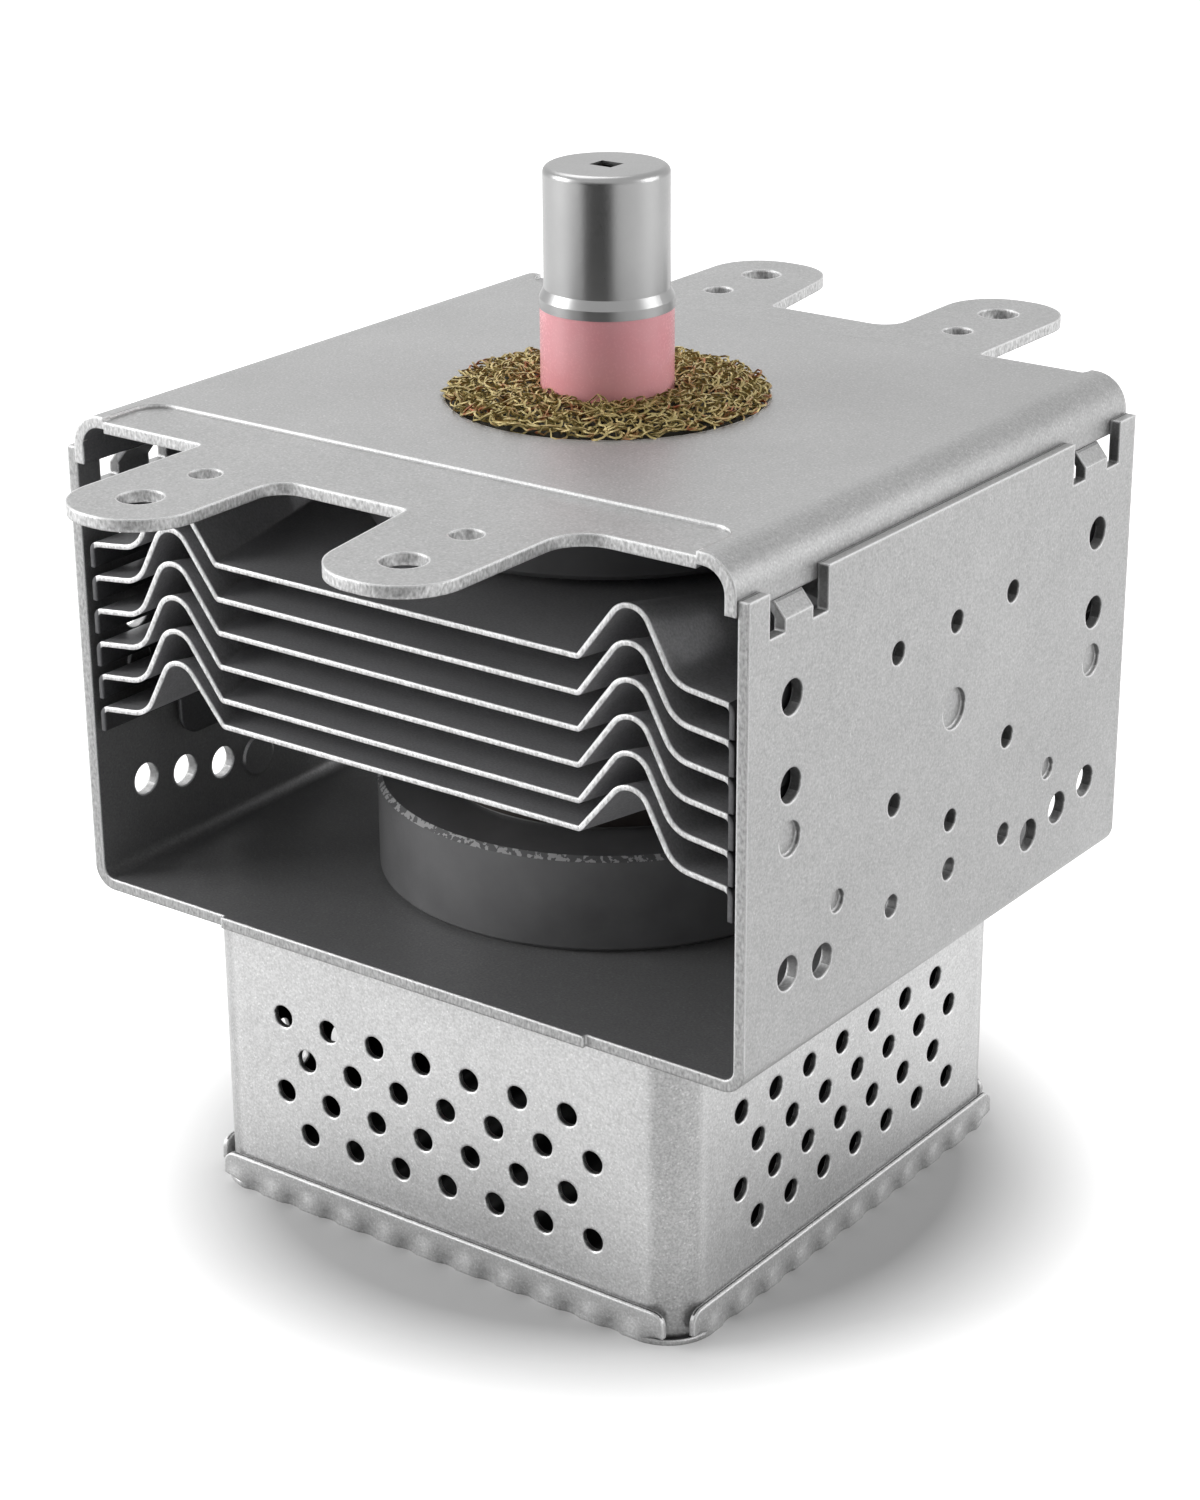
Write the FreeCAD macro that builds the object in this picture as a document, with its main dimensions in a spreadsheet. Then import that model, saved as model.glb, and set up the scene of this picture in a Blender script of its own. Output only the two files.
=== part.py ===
import FreeCAD, Part
import math
import os
import re

import Sketcher
from FreeCAD import Placement, Rotation, Vector

# Magnetron for a microwave oven: a permanent-magnet tube in a folded steel yoke.
#
# Frame: +Z up along the antenna, origin on the antenna's axis at the top face of the mounting
# plate, which is the face that meets the oven's waveguide. The fins' open faces look along -Y
# and +Y, and the yoke's two side walls stand at -X and +X. All sizes are in millimetres.

SIZES = {
    # folded steel yoke
    "yoke_width": 97.0,
    "yoke_depth": 83.8,
    "yoke_base": 61.4,
    "steel": 1.4,
    "yoke_bend": 2.9,
    "wall_top": 4.5,
    "floor_tongue": 0.6,
    "floor_tongue_half": 27.2,
    "floor_hole": 11.4,
    # staked tabs that carry the plate's turned-down edges
    "post_width": 3.8,
    "slot_width": 3.0,
    "tab_width": 5.3,
    "slot_depth": 5.1,
    "tab_lean": 1.5,
    # holes and half-shear bosses of the side walls
    "big_hole": 2.05,
    "small_hole": 1.4,
    "corner_hole_reach": 33.6,
    "corner_hole_high": 17.3,
    "corner_hole_low": 27.4,
    "corner_boss_level": 33.6,
    "foot_hole_level": 49.6,
    "foot_hole_step": 7.0,
    "foot_hole_drop": 1.2,
    "grid_centre": 0.6,
    "grid_step": 12.7,
    "grid_high": 18.9,
    "grid_middle": 37.1,
    "grid_low": 43.4,
    "grid_foot": 49.6,
    "centre_boss_level": 29.5,
    "centre_boss": 2.5,
    "side_boss_reach": 23.7,
    "side_boss_level": 44.6,
    "boss_dent": 0.6,
    "boss_rise": 0.3,
    "inner_boss": 2.9,
    "inner_boss_reach": 13.0,
    "inner_boss_level": 53.2,
    # mounting plate
    "plate_bend": 4.2,
    "plate_flange": 6.3,
    "plate_gap": 0.1,
    "plate_front": 42.2,
    "strip_drop": 0.5,
    "strip_front": 33.6,
    "strip_back": 38.7,
    "strip_end": 42.0,
    "strip_corner": 3.2,
    "tongue_reach": 47.3,
    "outer_root": 4.8,
    "inner_root": 3.2,
    "sharp_root": 0.8,
    "ear_pitch": 36.9,
    "ear_half": 7.9,
    "ear_tip_radius": 7.3,
    "ear_spread": 2.6,
    "ear_narrow": 0.6,
    "ear_reach": 68.5,
    "bolt_reach": 60.7,
    "bolt_hole": 2.6,
    "pilot_reach": 50.35,
    "pilot_hole": 1.9,
    "gasket_hole": 19.4,
    # magnets
    "magnet_radius": 28.85,
    "magnet_bore": 11.0,
    "magnet_height": 12.3,
    "magnet_edge": 0.6,
    # cooling fins
    "fin_sheet": 0.6,
    "fin_gap": 0.8,
    "fin_offset": 0.35,
    "fin_inset": 0.1,
    "fin_first": 15.0,
    "fin_pitch": 4.2,
    "fin_apex": 9.4,
    "fin_foot_run": 19.9,
    "fin_crest_run": 12.7,
    "fin_shoulder_run": 7.4,
    "fin_shoulder_drop": 0.4,
    "fin_end_drop": 1.3,
    "fin_root": 2.0,
    "fin_foot_radius": 0.6,
    "fin_crest_radius": 2.7,
    "fin_shoulder_radius": 4.0,
    "fin_end_radius": 0.9,
    "fin_lip": 2.9,
    "fin_right_lip": 3.7,
    "fin_long_lip": 7.2,
    "fin_long_half": 28.5,
    "fin_last_lift": 0.9,
    "fin_lip_corner": 3.0,
    "fin_taper_start": 20.0,
    "fin_taper_end": 30.0,
    "fin_collar": 1.6,
    # anode
    "anode_radius": 21.0,
    "anode_bore": 18.2,
    "pole_radius": 19.0,
    "pole_sheet": 1.6,
    "pole_cone": 6.4,
    "pole_cone_radius": 11.0,
    "pole_nose": 6.6,
    "pole_bore": 4.8,
    "seal_flange": 20.4,
    "seal_sheet": 0.5,
    "seal_tube": 10.2,
    "seal_clearance": 0.3,
    "vane_thick": 2.0,
    "vane_height": 9.6,
    "vane_inner": 4.6,
    "strap_width": 0.9,
    "strap_height": 1.0,
    "strap_inner": 6.1,
    "strap_space": 0.8,
    "strap_recess": 0.4,
    # cathode
    "filament_radius": 1.9,
    "filament_wire": 0.28,
    "filament_turns": 7.0,
    "hat_radius": 3.5,
    "hat_thick": 1.1,
    "lead_radius": 0.7,
    "side_lead_reach": 2.6,
    "stem_radius": 7.6,
    "stem_top": 64.5,
    "stem_length": 13.0,
    "terminal_thick": 1.2,
    "terminal_blade": 4.6,
    "terminal_width": 4.0,
    # antenna
    "cap_radius": 7.5,
    "cap_rim": 8.05,
    "cap_sheet": 0.5,
    "cap_height": 27.5,
    "cap_base": 10.8,
    "cap_flare": 2.3,
    "cap_edge": 0.9,
    "cap_slot_long": 3.1,
    "cap_slot_wide": 2.6,
    "ceramic_radius": 7.98,
    "ceramic_bore": 5.6,
    "ceramic_foot": 3.2,
    "exhaust_radius": 2.2,
    "exhaust_bore": 1.5,
    "exhaust_top": 22.0,
    "antenna_lead": 1.0,
    "antenna_root": 10.4,
    "antenna_pass": 8.4,
    "antenna_bend": 2.2,
    "gasket_outer": 18.9,
    "gasket_inner": 8.2,
    "gasket_top": 1.8,
    "gasket_edge": 1.5,
    # filter box under the yoke
    "box_side": 72.2,
    "box_corner": 5.6,
    "box_sheet": 0.8,
    "box_base": 100.4,
    "grille_hole": 1.5,
    "grille_pitch": 7.27,
    "grille_row": 5.15,
    "grille_top": 74.9,
    "grille_count": 7.0,
    "lid_gap": 0.05,
    "lid_sheet": 0.7,
    "lid_flange": 4.4,
    "lid_flange_half": 34.2,
    "lid_flange_corner": 1.6,
    "lid_flange_foot": 31.0,
    "dent_pitch": 6.23,
    "dent_count": 11.0,
    "dent_shift": 1.85,
    "dent_radius": 3.5,
    "dent_depth": 0.35,
    "dent_height": 0.2,
    # filter parts inside the box and on its back wall
    "choke_spacing": 9.0,
    "choke_level": 84.0,
    "choke_tail": 1.2,
    "choke_length": 18.0,
    "choke_radius": 3.2,
    "choke_wire": 0.7,
    "choke_turns": 9.0,
    "core_radius": 2.2,
    "capacitor_gap": 0.2,
    "capacitor_width": 27.0,
    "capacitor_height": 13.0,
    "capacitor_depth": 14.0,
    "capacitor_inside": 6.0,
    "capacitor_plate_width": 42.0,
    "capacitor_plate_height": 17.0,
    "capacitor_plate_sheet": 0.8,
    "capacitor_terminal_width": 6.3,
    "capacitor_terminal_thick": 0.8,
    "capacitor_terminal_length": 9.0,
    "stud_radius": 1.2,
    "rivet_spacing": 34.0,
    "rivet_radius": 1.6,
    "rivet_head": 2.6,
    "rivet_rise": 0.9,
}
FINS = 6
VANES = 10
GRILLE_ROWS = 4
COIL_STEPS = 14

doc = FreeCAD.newDocument("Magnetron")
sheet = doc.addObject("Spreadsheet::Sheet", "sizes")
for row, (alias, number) in enumerate(SIZES.items(), start=1):
    sheet.set(f"A{row}", alias)
    sheet.set(f"B{row}", str(number))
    sheet.setAlias(f"B{row}", alias)
doc.recompute()

NODES = []


def full(text):
    """The expression with the sheet's name before each size."""
    return re.sub(r"[a-z][a-z_]+", lambda word: ("sizes." if word[0] in SIZES else "") + word[0], text)


def size(text):
    """The present value of an expression, read from the sheet."""
    return float(sheet.evalExpression(full(text)))


def bind(target, **sizes):
    """Tie properties of an object to expressions."""
    for name, text in sizes.items():
        target.setExpression(name, full(text))


def keep(target, label):
    """Name a finished sub-part: its label is its file's name."""
    target.Label = label
    NODES.append(target)
    return target


def body(label):
    return keep(doc.addObject("PartDesign::Body", label + "_body"), label)


def sketch(owner, plane, offset="0"):
    """A sketch on one of the body's own origin planes, moved along the plane's normal."""
    drawn = owner.newObject("Sketcher::SketchObject", "outline")
    origin_plane = next(item for item in owner.Origin.OriginFeatures if item.Role == plane + "_Plane")
    drawn.AttachmentSupport = [(origin_plane, "")]
    drawn.MapMode = "FlatFace"
    drawn.setExpression("AttachmentOffset.Base.z", full(offset))
    return drawn


def pin(drawn, geometry, vertex, x, y):
    """Fix a point of the sketch at two expressions."""
    for kind, text in (("DistanceX", x), ("DistanceY", y)):
        number = drawn.addConstraint(Sketcher.Constraint(kind, -1, 1, geometry, vertex, size(text)))
        drawn.setExpression(f"Constraints[{number}]", full(text))


def set_radius(drawn, geometry, radius):
    number = drawn.addConstraint(Sketcher.Constraint("Radius", geometry, size(radius)))
    drawn.setExpression(f"Constraints[{number}]", full(radius))


def circle(drawn, x, y, radius):
    number = drawn.addGeometry(Part.Circle(Vector(size(x), size(y), 0), Vector(0, 0, 1), size(radius)), False)
    pin(drawn, number, 3, x, y)
    set_radius(drawn, number, radius)


def corner_arc(before, corner, after, radius):
    """Arc that rounds a corner: its ends on the two sides, its curve, and whether it turns left."""
    to_before = (before - corner).normalize()
    to_after = (after - corner).normalize()
    half_angle = to_before.getAngle(to_after) / 2
    start = corner + to_before * (radius / math.tan(half_angle))
    end = corner + to_after * (radius / math.tan(half_angle))
    centre = corner + (to_before + to_after).normalize() * (radius / math.sin(half_angle))
    turns_left = to_after.cross(to_before).z > 0
    first, last = (start, end) if turns_left else (end, start)
    angles = [math.atan2(point.y - centre.y, point.x - centre.x) for point in (first, last)]
    if angles[1] < angles[0]:
        angles[1] += 2 * math.pi
    curve = Part.ArcOfCircle(Part.Circle(centre, Vector(0, 0, 1), radius), *angles)
    return start, end, curve, turns_left


def outline(drawn, corners):
    """Closed outline through corners (x, y) or (x, y, radius), each an expression."""
    points = [Vector(size(corner[0]), size(corner[1]), 0) for corner in corners]
    count = len(points)
    arcs = {}
    for i, corner in enumerate(corners):
        if len(corner) == 3:
            arcs[i] = corner_arc(points[i - 1], points[i], points[(i + 1) % count], size(corner[2]))
    lines = []
    for i in range(count):
        start = arcs[i][1] if i in arcs else points[i]
        following = (i + 1) % count
        end = arcs[following][0] if following in arcs else points[following]
        lines.append(drawn.addGeometry(Part.LineSegment(start, end), False))
    for i, corner in enumerate(corners):
        if i not in arcs:
            drawn.addConstraint(Sketcher.Constraint("Coincident", lines[i - 1], 2, lines[i], 1))
            pin(drawn, lines[i], 1, corner[0], corner[1])
            continue
        arc = drawn.addGeometry(arcs[i][2], False)
        arc_start, arc_end = (1, 2) if arcs[i][3] else (2, 1)
        mark = drawn.addGeometry(Part.Point(points[i]), True)
        drawn.addConstraint(Sketcher.Constraint("PointOnObject", mark, 1, lines[i - 1]))
        drawn.addConstraint(Sketcher.Constraint("PointOnObject", mark, 1, lines[i]))
        pin(drawn, mark, 1, corner[0], corner[1])
        drawn.addConstraint(Sketcher.Constraint("Tangent", lines[i - 1], 2, arc, arc_start))
        drawn.addConstraint(Sketcher.Constraint("Tangent", lines[i], 1, arc, arc_end))
        set_radius(drawn, arc, corner[2])


def rectangle(drawn, left, right, low, high, radius=None):
    corners = [(left, low), (right, low), (right, high), (left, high)]
    outline(drawn, [corner + (radius,) if radius else corner for corner in corners])


def pad(owner, drawn, length, both=False, back=False):
    """Thicken a sketch along its normal, on both sides of it, or against its normal."""
    feature = owner.newObject("PartDesign::Pad", "pad")
    feature.Profile = drawn
    feature.SideType = "Symmetric" if both else "One side"
    feature.Reversed = back
    bind(feature, Length=length)
    return feature


def pocket(owner, drawn, length, both=False, back=False):
    """Cut a sketch's outline out of the body, against the sketch's normal unless back is set."""
    feature = owner.newObject("PartDesign::Pocket", "pocket")
    feature.Profile = drawn
    feature.SideType = "Symmetric" if both else "One side"
    feature.Reversed = back
    bind(feature, Length=length)
    return feature


def turned(label, profile):
    """A body turned about Z from a closed profile of (radius, height) corners."""
    owner = body(label)
    drawn = sketch(owner, "XZ")
    outline(drawn, profile)
    feature = owner.newObject("PartDesign::Revolution", "revolution")
    feature.Profile = drawn
    feature.ReferenceAxis = (drawn, ["V_Axis"])
    feature.Angle = 360
    return owner


def shaped(label, shape):
    """A sub-part whose shape is worked out here from the sheet's sizes."""
    target = doc.addObject("Part::Feature", label + "_shape")
    target.Shape = shape
    target.Placement = Placement()
    return keep(target, label)


# levels of the stack between plate and yoke floor, as expressions
MAGNET_TOP = "-steel"
STACK_TOP = "-steel - magnet_height"
STACK_LOW = "-yoke_base + steel + magnet_height"
ANODE_TOP = "-steel - magnet_height - seal_sheet"
ANODE_LOW = "-yoke_base + steel + magnet_height + seal_sheet"
ANODE_MIDDLE = "-yoke_base / 2"
FLANGE_FACE = "(yoke_width / 2 - steel - plate_gap)"


def mounting_plate():
    """Steel plate with turned-down sides, two lowered strips and four ears."""
    plate = body("mounting_plate")
    section = sketch(plate, "XZ")
    outline(section, [
        (f"-{FLANGE_FACE}", "-plate_flange"), (f"-{FLANGE_FACE}", "0", "plate_bend"),
        (FLANGE_FACE, "0", "plate_bend"), (FLANGE_FACE, "-plate_flange"),
        (f"{FLANGE_FACE} - steel", "-plate_flange"),
        (f"{FLANGE_FACE} - steel", "-steel", "plate_bend - steel"),
        (f"-{FLANGE_FACE} + steel", "-steel", "plate_bend - steel"),
        (f"-{FLANGE_FACE} + steel", "-plate_flange"),
    ])
    pad(plate, section, "2 * plate_front", both=True)
    for side, inner in ((-1, "strip_front"), (1, "strip_back")):
        lowered = sketch(plate, "XY")
        near, far = sorted((f"{side} * {inner}", f"{side} * (plate_front + steel)"), key=size)
        rounded = [("-strip_end", near), ("strip_end", near), ("strip_end", far), ("-strip_end", far)]
        inner_pair = (2, 3) if side < 0 else (0, 1)
        outline(lowered, [corner + ("strip_corner",) if i in inner_pair else corner
                          for i, corner in enumerate(rounded)])
        pocket(plate, lowered, "strip_drop")
        ears = sketch(plate, "XY", "-strip_drop")
        outline(ears, ear_outline(side, inner))
        pad(plate, ears, "steel", back=True)
    holes = sketch(plate, "XY")
    circle(holes, "0", "0", "gasket_hole")
    for across in (-1, 1):
        for along in (-1, 1):
            circle(holes, f"{across} * ear_pitch / 2", f"{along} * bolt_reach", "bolt_hole")
            circle(holes, f"{across} * ear_pitch / 2", f"{along} * pilot_reach", "pilot_hole")
    pocket(plate, holes, "4 * (steel + strip_drop)", both=True)


def ear_outline(side, inner):
    """Lowered strip with its two ears, on the front (side -1) or the back (side 1).

    The back is the front turned half round. In each pair one ear has a straight inner side and
    the other has a slanted one, and each ear meets the sheet at one wide and one sharp corner.
    """
    centre, tip = "ear_pitch / 2", ("ear_reach", "ear_tip_radius")
    corners = [
        ("strip_end", inner, "strip_corner"), ("strip_end", "plate_front"),
        (f"{centre} + ear_half", "plate_front", "outer_root"), (f"{centre} + ear_half", *tip),
        (f"{centre} - ear_half + ear_narrow", *tip),
        (f"{centre} - ear_half - ear_spread", "tongue_reach", "sharp_root"),
        (f"ear_half - {centre}", "tongue_reach", "inner_root"), (f"ear_half - {centre}", *tip),
        (f"-({centre}) - ear_half", *tip), (f"-({centre}) - ear_half", "plate_front", "sharp_root"),
        ("-strip_end", "plate_front"), ("-strip_end", inner, "strip_corner"),
    ]
    return [(f"{-side} * ({x})", f"{side} * {y}", *radius) for x, y, *radius in corners]


def yoke_frame():
    """U-shaped steel yoke: floor, two side walls, staked tabs, holes and half-shear bosses."""
    yoke = body("yoke_frame")
    section = sketch(yoke, "XZ")
    outline(section, [
        ("-yoke_width / 2", "-wall_top"), ("-yoke_width / 2", "-yoke_base", "yoke_bend"),
        ("yoke_width / 2", "-yoke_base", "yoke_bend"), ("yoke_width / 2", "-wall_top"),
        ("yoke_width / 2 - steel", "-wall_top"),
        ("yoke_width / 2 - steel", "-yoke_base + steel", "yoke_bend - steel"),
        ("-yoke_width / 2 + steel", "-yoke_base + steel", "yoke_bend - steel"),
        ("-yoke_width / 2 + steel", "-wall_top"),
    ])
    pad(yoke, section, "yoke_depth", both=True)
    tongue = sketch(yoke, "XY", "-yoke_base")
    rectangle(tongue, "-floor_tongue_half", "floor_tongue_half",
              "-yoke_depth / 2 - floor_tongue", "yoke_depth / 2 + floor_tongue")
    pad(yoke, tongue, "steel")
    floor_hole = sketch(yoke, "XY", "-yoke_base")
    circle(floor_hole, "0", "0", "floor_hole")
    pocket(yoke, floor_hole, "3 * steel", both=True)
    yoke_tabs(yoke)
    for side in (-1, 1):
        wall_holes(yoke, side)
    for side in (-1, 1):
        wall_bosses(yoke, side)


def yoke_tabs(yoke):
    """Slots in the walls' top edges, with a tab between each pair bent in under the plate's edge."""
    cut = sketch(yoke, "YZ")
    first = "yoke_depth / 2 - post_width"
    last = f"{first} - 2 * slot_width - tab_width"
    for side in (-1, 1):
        near, far = sorted((f"{side} * ({first})", f"{side} * ({last})"), key=size)
        rectangle(cut, near, far, "-wall_top - slot_depth", "-wall_top + steel")
    pocket(yoke, cut, "2 * yoke_width", both=True)
    for side in (-1, 1):
        centre = f"{side} * ({first} - slot_width - tab_width / 2)"
        bent = sketch(yoke, "XZ", f"-({centre})")
        for wall in (-1, 1):
            face = f"{wall} * yoke_width / 2"
            tip = f"{wall} * (yoke_width / 2 - tab_lean)"
            top = "-plate_flange - plate_gap"
            outline(bent, [
                (face, "-wall_top - slot_depth"), (face, "-wall_top - slot_depth + steel"),
                (tip, top), (f"{tip} - {wall} * steel", top),
                (f"{face} - {wall} * steel", "-wall_top - slot_depth + steel"),
                (f"{face} - {wall} * steel", "-wall_top - slot_depth"),
            ])
        pad(yoke, bent, "tab_width", both=True)


def wall_holes(yoke, side):
    """Holes of one side wall. The other wall has the same holes turned half round about Z."""
    cut = sketch(yoke, "YZ", f"{side} * (yoke_width / 2 + steel)")
    for end in (-1, 1):
        for level in ("corner_hole_high", "corner_hole_low", "foot_hole_level"):
            circle(cut, f"{end} * corner_hole_reach", f"-{level}", "big_hole")
        circle(cut, f"{end} * (corner_hole_reach - foot_hole_step)",
               "-foot_hole_level - foot_hole_drop", "big_hole")
    circle(cut, f"{side} * (corner_hole_reach - 2 * foot_hole_step)",
           "-foot_hole_level - 2 * foot_hole_drop", "big_hole")
    grid = [(-1, "grid_high"), (0, "grid_high"), (1, "grid_high"), (-1, "grid_middle"), (1, "grid_middle"),
            (0, "grid_low"), (-1, "grid_foot"), (0, "grid_foot"), (1, "grid_foot")]
    for step, level in grid:
        if side < 0 and (step, level) == (1, "grid_foot"):
            continue
        circle(cut, f"{side} * grid_centre + {side * step} * grid_step", f"-{level}", "small_hole")
    pocket(yoke, cut, "3 * steel", back=(side < 0))


def wall_bosses(yoke, side):
    """Half-shear bosses: pressed in from outside, standing proud inside."""
    places = [(f"{end} * corner_hole_reach", "-corner_boss_level", "big_hole") for end in (-1, 1)]
    places += [(f"{end} * side_boss_reach", "-side_boss_level", "small_hole") for end in (-1, 1)]
    places += [(f"{side} * grid_centre", "-centre_boss_level", "centre_boss")]
    if side < 0:
        places += [("-inner_boss_reach", "-inner_boss_level", "inner_boss")]
    dent = sketch(yoke, "YZ", f"{side} * yoke_width / 2")
    bump = sketch(yoke, "YZ", f"{side} * (yoke_width / 2 - steel)")
    for along, level, radius in places:
        circle(dent, along, level, radius)
        circle(bump, along, level, f"{radius} - 0.1 * steel")
    pocket(yoke, dent, "boss_dent", back=(side < 0))
    pad(yoke, bump, "boss_rise", back=(side > 0))


def magnet(label, top):
    """Ferrite ring magnet with small chamfers."""
    low = f"{top} - magnet_height"
    turned(label, [
        ("magnet_bore", low), ("magnet_radius - magnet_edge", low), ("magnet_radius", f"{low} + magnet_edge"),
        ("magnet_radius", f"{top} - magnet_edge"), ("magnet_radius - magnet_edge", top), ("magnet_bore", top),
    ])


def fin_stations(lift, lip):
    """Places from the open face inwards: (distance along Y, corners of the sheet's centre line).

    Each corner is (distance from the fin's middle, height, bend radius). The sheet runs flat, climbs
    to a rounded crest, comes down to a sloping shoulder and turns down beside the wall. Inwards the
    crest sinks and moves out, until only a crease is left.
    """
    fading = (("0", 1.0, 0.0), ("fin_taper_start", 0.68, 0.42), ("fin_taper_end", 0.03, 0.62))
    crest_share = 0.7
    end = size("yoke_width / 2 - steel - fin_gap - fin_sheet / 2")
    outer = end - size("fin_shoulder_run")
    crest = end - size("fin_crest_run")
    foot = end - size("fin_foot_run")
    low = -size("fin_end_drop")
    stations = []
    for inwards, height, share in fading:
        near = foot + (outer - foot) * share
        stations.append((size(f"yoke_depth / 2 - fin_inset - {inwards}"), [
            (near - size("fin_root"), lift, 0),
            (near, lift, size("fin_foot_radius")),
            (crest + (outer - crest) * share * crest_share,
             lift + (size("fin_apex") - lift) * height, size("fin_crest_radius")),
            (outer, -size("fin_shoulder_drop"), size("fin_shoulder_radius")),
            (end, low, size("fin_end_radius")),
            (end, low - lip, 0),
        ]))
    return stations


def fin_side(corners, shift):
    """One face of the sheet, shift away from its centre line: its corners with their radii."""
    face = []
    for i, (across, height, radius) in enumerate(corners):
        here = Vector(across, height, 0)
        before = (here - Vector(*corners[i - 1][:2], 0)).normalize() if i else None
        after = (Vector(*corners[i + 1][:2], 0) - here).normalize() if i + 1 < len(corners) else None
        before, after = before or after, after or before
        square = Vector(-before.y - after.y, before.x + after.x, 0).normalize()
        reach = shift / math.cos(before.getAngle(after) / 2)
        turns_left = before.cross(after).z > 0
        face.append((here + square * reach, radius - shift if turns_left else radius + shift))
    return face


def fin_section(corners, along, side):
    """Closed wire round the fin's sheet on one side, at one place along Y."""
    half = size("fin_sheet / 2")
    loop = fin_side(corners, half) + fin_side(corners, -half)[::-1]
    middle = size("fin_offset")
    count = len(loop)
    ends = (0, len(corners) - 1, len(corners), count - 1)
    arcs = {i: corner_arc(loop[i - 1][0], loop[i][0], loop[(i + 1) % count][0], loop[i][1])
            for i in range(count) if i not in ends}

    def placed(point):
        return Vector(side * point.x + middle, along, point.y)

    edges = []
    for i in range(count):
        following = (i + 1) % count
        if i in arcs:
            first, last, curve = arcs[i][:3]
            peak = curve.value((curve.FirstParameter + curve.LastParameter) / 2)
            edges.append(Part.Arc(placed(first), placed(peak), placed(last)).toShape())
        start = arcs[i][1] if i in arcs else loop[i][0]
        end = arcs[following][0] if following in arcs else loop[following][0]
        edges.append(Part.LineSegment(placed(start), placed(end)).toShape())
    return Part.Wire(edges)


def fin_shape(lift, lip_depth):
    """A fin at level 0: flat round the anode, wavy towards both open faces, ends turned down."""
    half = size("fin_sheet / 2")
    middle = size("fin_offset")
    pieces = []
    for side, lip in ((-1, "fin_lip"), (1, "fin_right_lip")):
        stations = fin_stations(lift, size(lip))
        for end in (-1, 1):
            wires = [fin_section(corners, end * along, side) for along, corners in stations]
            pieces.append(Part.makeLoft(wires, True, True))
        along, corners = stations[-1]
        pieces.append(Part.Face(fin_section(corners, -along, side)).extrude(Vector(0, 2 * along, 0)))
        if lip_depth > size(lip):
            pieces.append(long_lip(side, lip_depth))
    edge = [(corners[0][0], along) for along, corners in stations]
    loop = edge + [(x, -y) for x, y in reversed(edge)]
    loop += [(-x, y) for x, y in reversed(loop)]
    corners = [Vector(x + middle, y, lift - half) for x, y in loop]
    flat = Part.Face(Part.makePolygon(corners + corners[:1])).extrude(Vector(0, 0, 2 * half))
    collar_foot = Vector(0, 0, lift - half - size("fin_collar"))
    flat = flat.fuse(Part.makeCylinder(size("anode_radius + fin_sheet"), size("fin_collar"), collar_foot))
    whole = flat.fuse(pieces)
    bore_foot = collar_foot - Vector(0, 0, 1)
    bore = Part.makeCylinder(size("anode_radius"), size("fin_collar + fin_sheet") + 2, bore_foot)
    return whole.cut(bore).removeSplitter()


def long_lip(side, depth):
    """Deep turned-down end of the last fin, between the open faces, with two rounded corners."""
    sheet_side = size("fin_sheet")
    half = size("fin_long_half")
    face = side * size("yoke_width / 2 - steel - fin_gap") + size("fin_offset")
    left = min(face, face - side * sheet_side)
    high = -size("fin_end_drop + fin_end_radius")
    deep = Part.makeBox(sheet_side, 2 * half, depth, Vector(left, -half, high - depth))
    low_edges = [edge for edge in deep.Edges
                 if abs(edge.CenterOfMass.z - (high - depth)) < 0.01 and edge.Length < 2 * sheet_side]
    return deep.makeFillet(size("fin_lip_corner"), low_edges)


def fins():
    """Six fins at one pitch down the anode. The last has deeper ends and a raised middle."""
    plain = fin_shape(0.0, 0.0)
    last = fin_shape(size("fin_last_lift"), size("fin_long_lip"))
    for number in range(1, FINS + 1):
        piece = shaped(f"fin_{number}", last if number == FINS else plain)
        piece.setExpression("Placement.Base.z", full(f"-fin_first - {number - 1} * fin_pitch"))


def anode_cylinder():
    """Copper shell with a step at each end that the pole pieces sit on."""
    turned("anode_cylinder", [
        ("pole_radius", ANODE_LOW), ("anode_radius", ANODE_LOW), ("anode_radius", ANODE_TOP),
        ("pole_radius", ANODE_TOP), ("pole_radius", f"{ANODE_TOP} - pole_sheet"),
        ("anode_bore", f"{ANODE_TOP} - pole_sheet"), ("anode_bore", f"{ANODE_LOW} + pole_sheet"),
        ("pole_radius", f"{ANODE_LOW} + pole_sheet"),
    ])


def vanes():
    """Ten copper vanes. Each strap touches every other vane and clears the ones between."""
    for number in range(1, VANES + 1):
        vane = body(f"vane_{number:02d}")
        profile = sketch(vane, "XZ")
        inner_first = number % 2 == 1
        outline(profile, vane_edge(1, inner_first) + list(reversed(vane_edge(-1, not inner_first))))
        pad(vane, profile, "vane_thick", both=True)
        trim = sketch(vane, "XZ")
        rectangle(trim, "anode_bore", "anode_radius",
                  f"{ANODE_MIDDLE} - vane_height", f"{ANODE_MIDDLE} + vane_height")
        groove = vane.newObject("PartDesign::Groove", "groove")
        groove.Profile = trim
        groove.ReferenceAxis = (trim, ["V_Axis"])
        groove.Angle = 360
        vane.Placement = Placement(Vector(), Rotation(Vector(0, 0, 1), 360 / VANES * (number - 1)))


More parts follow.
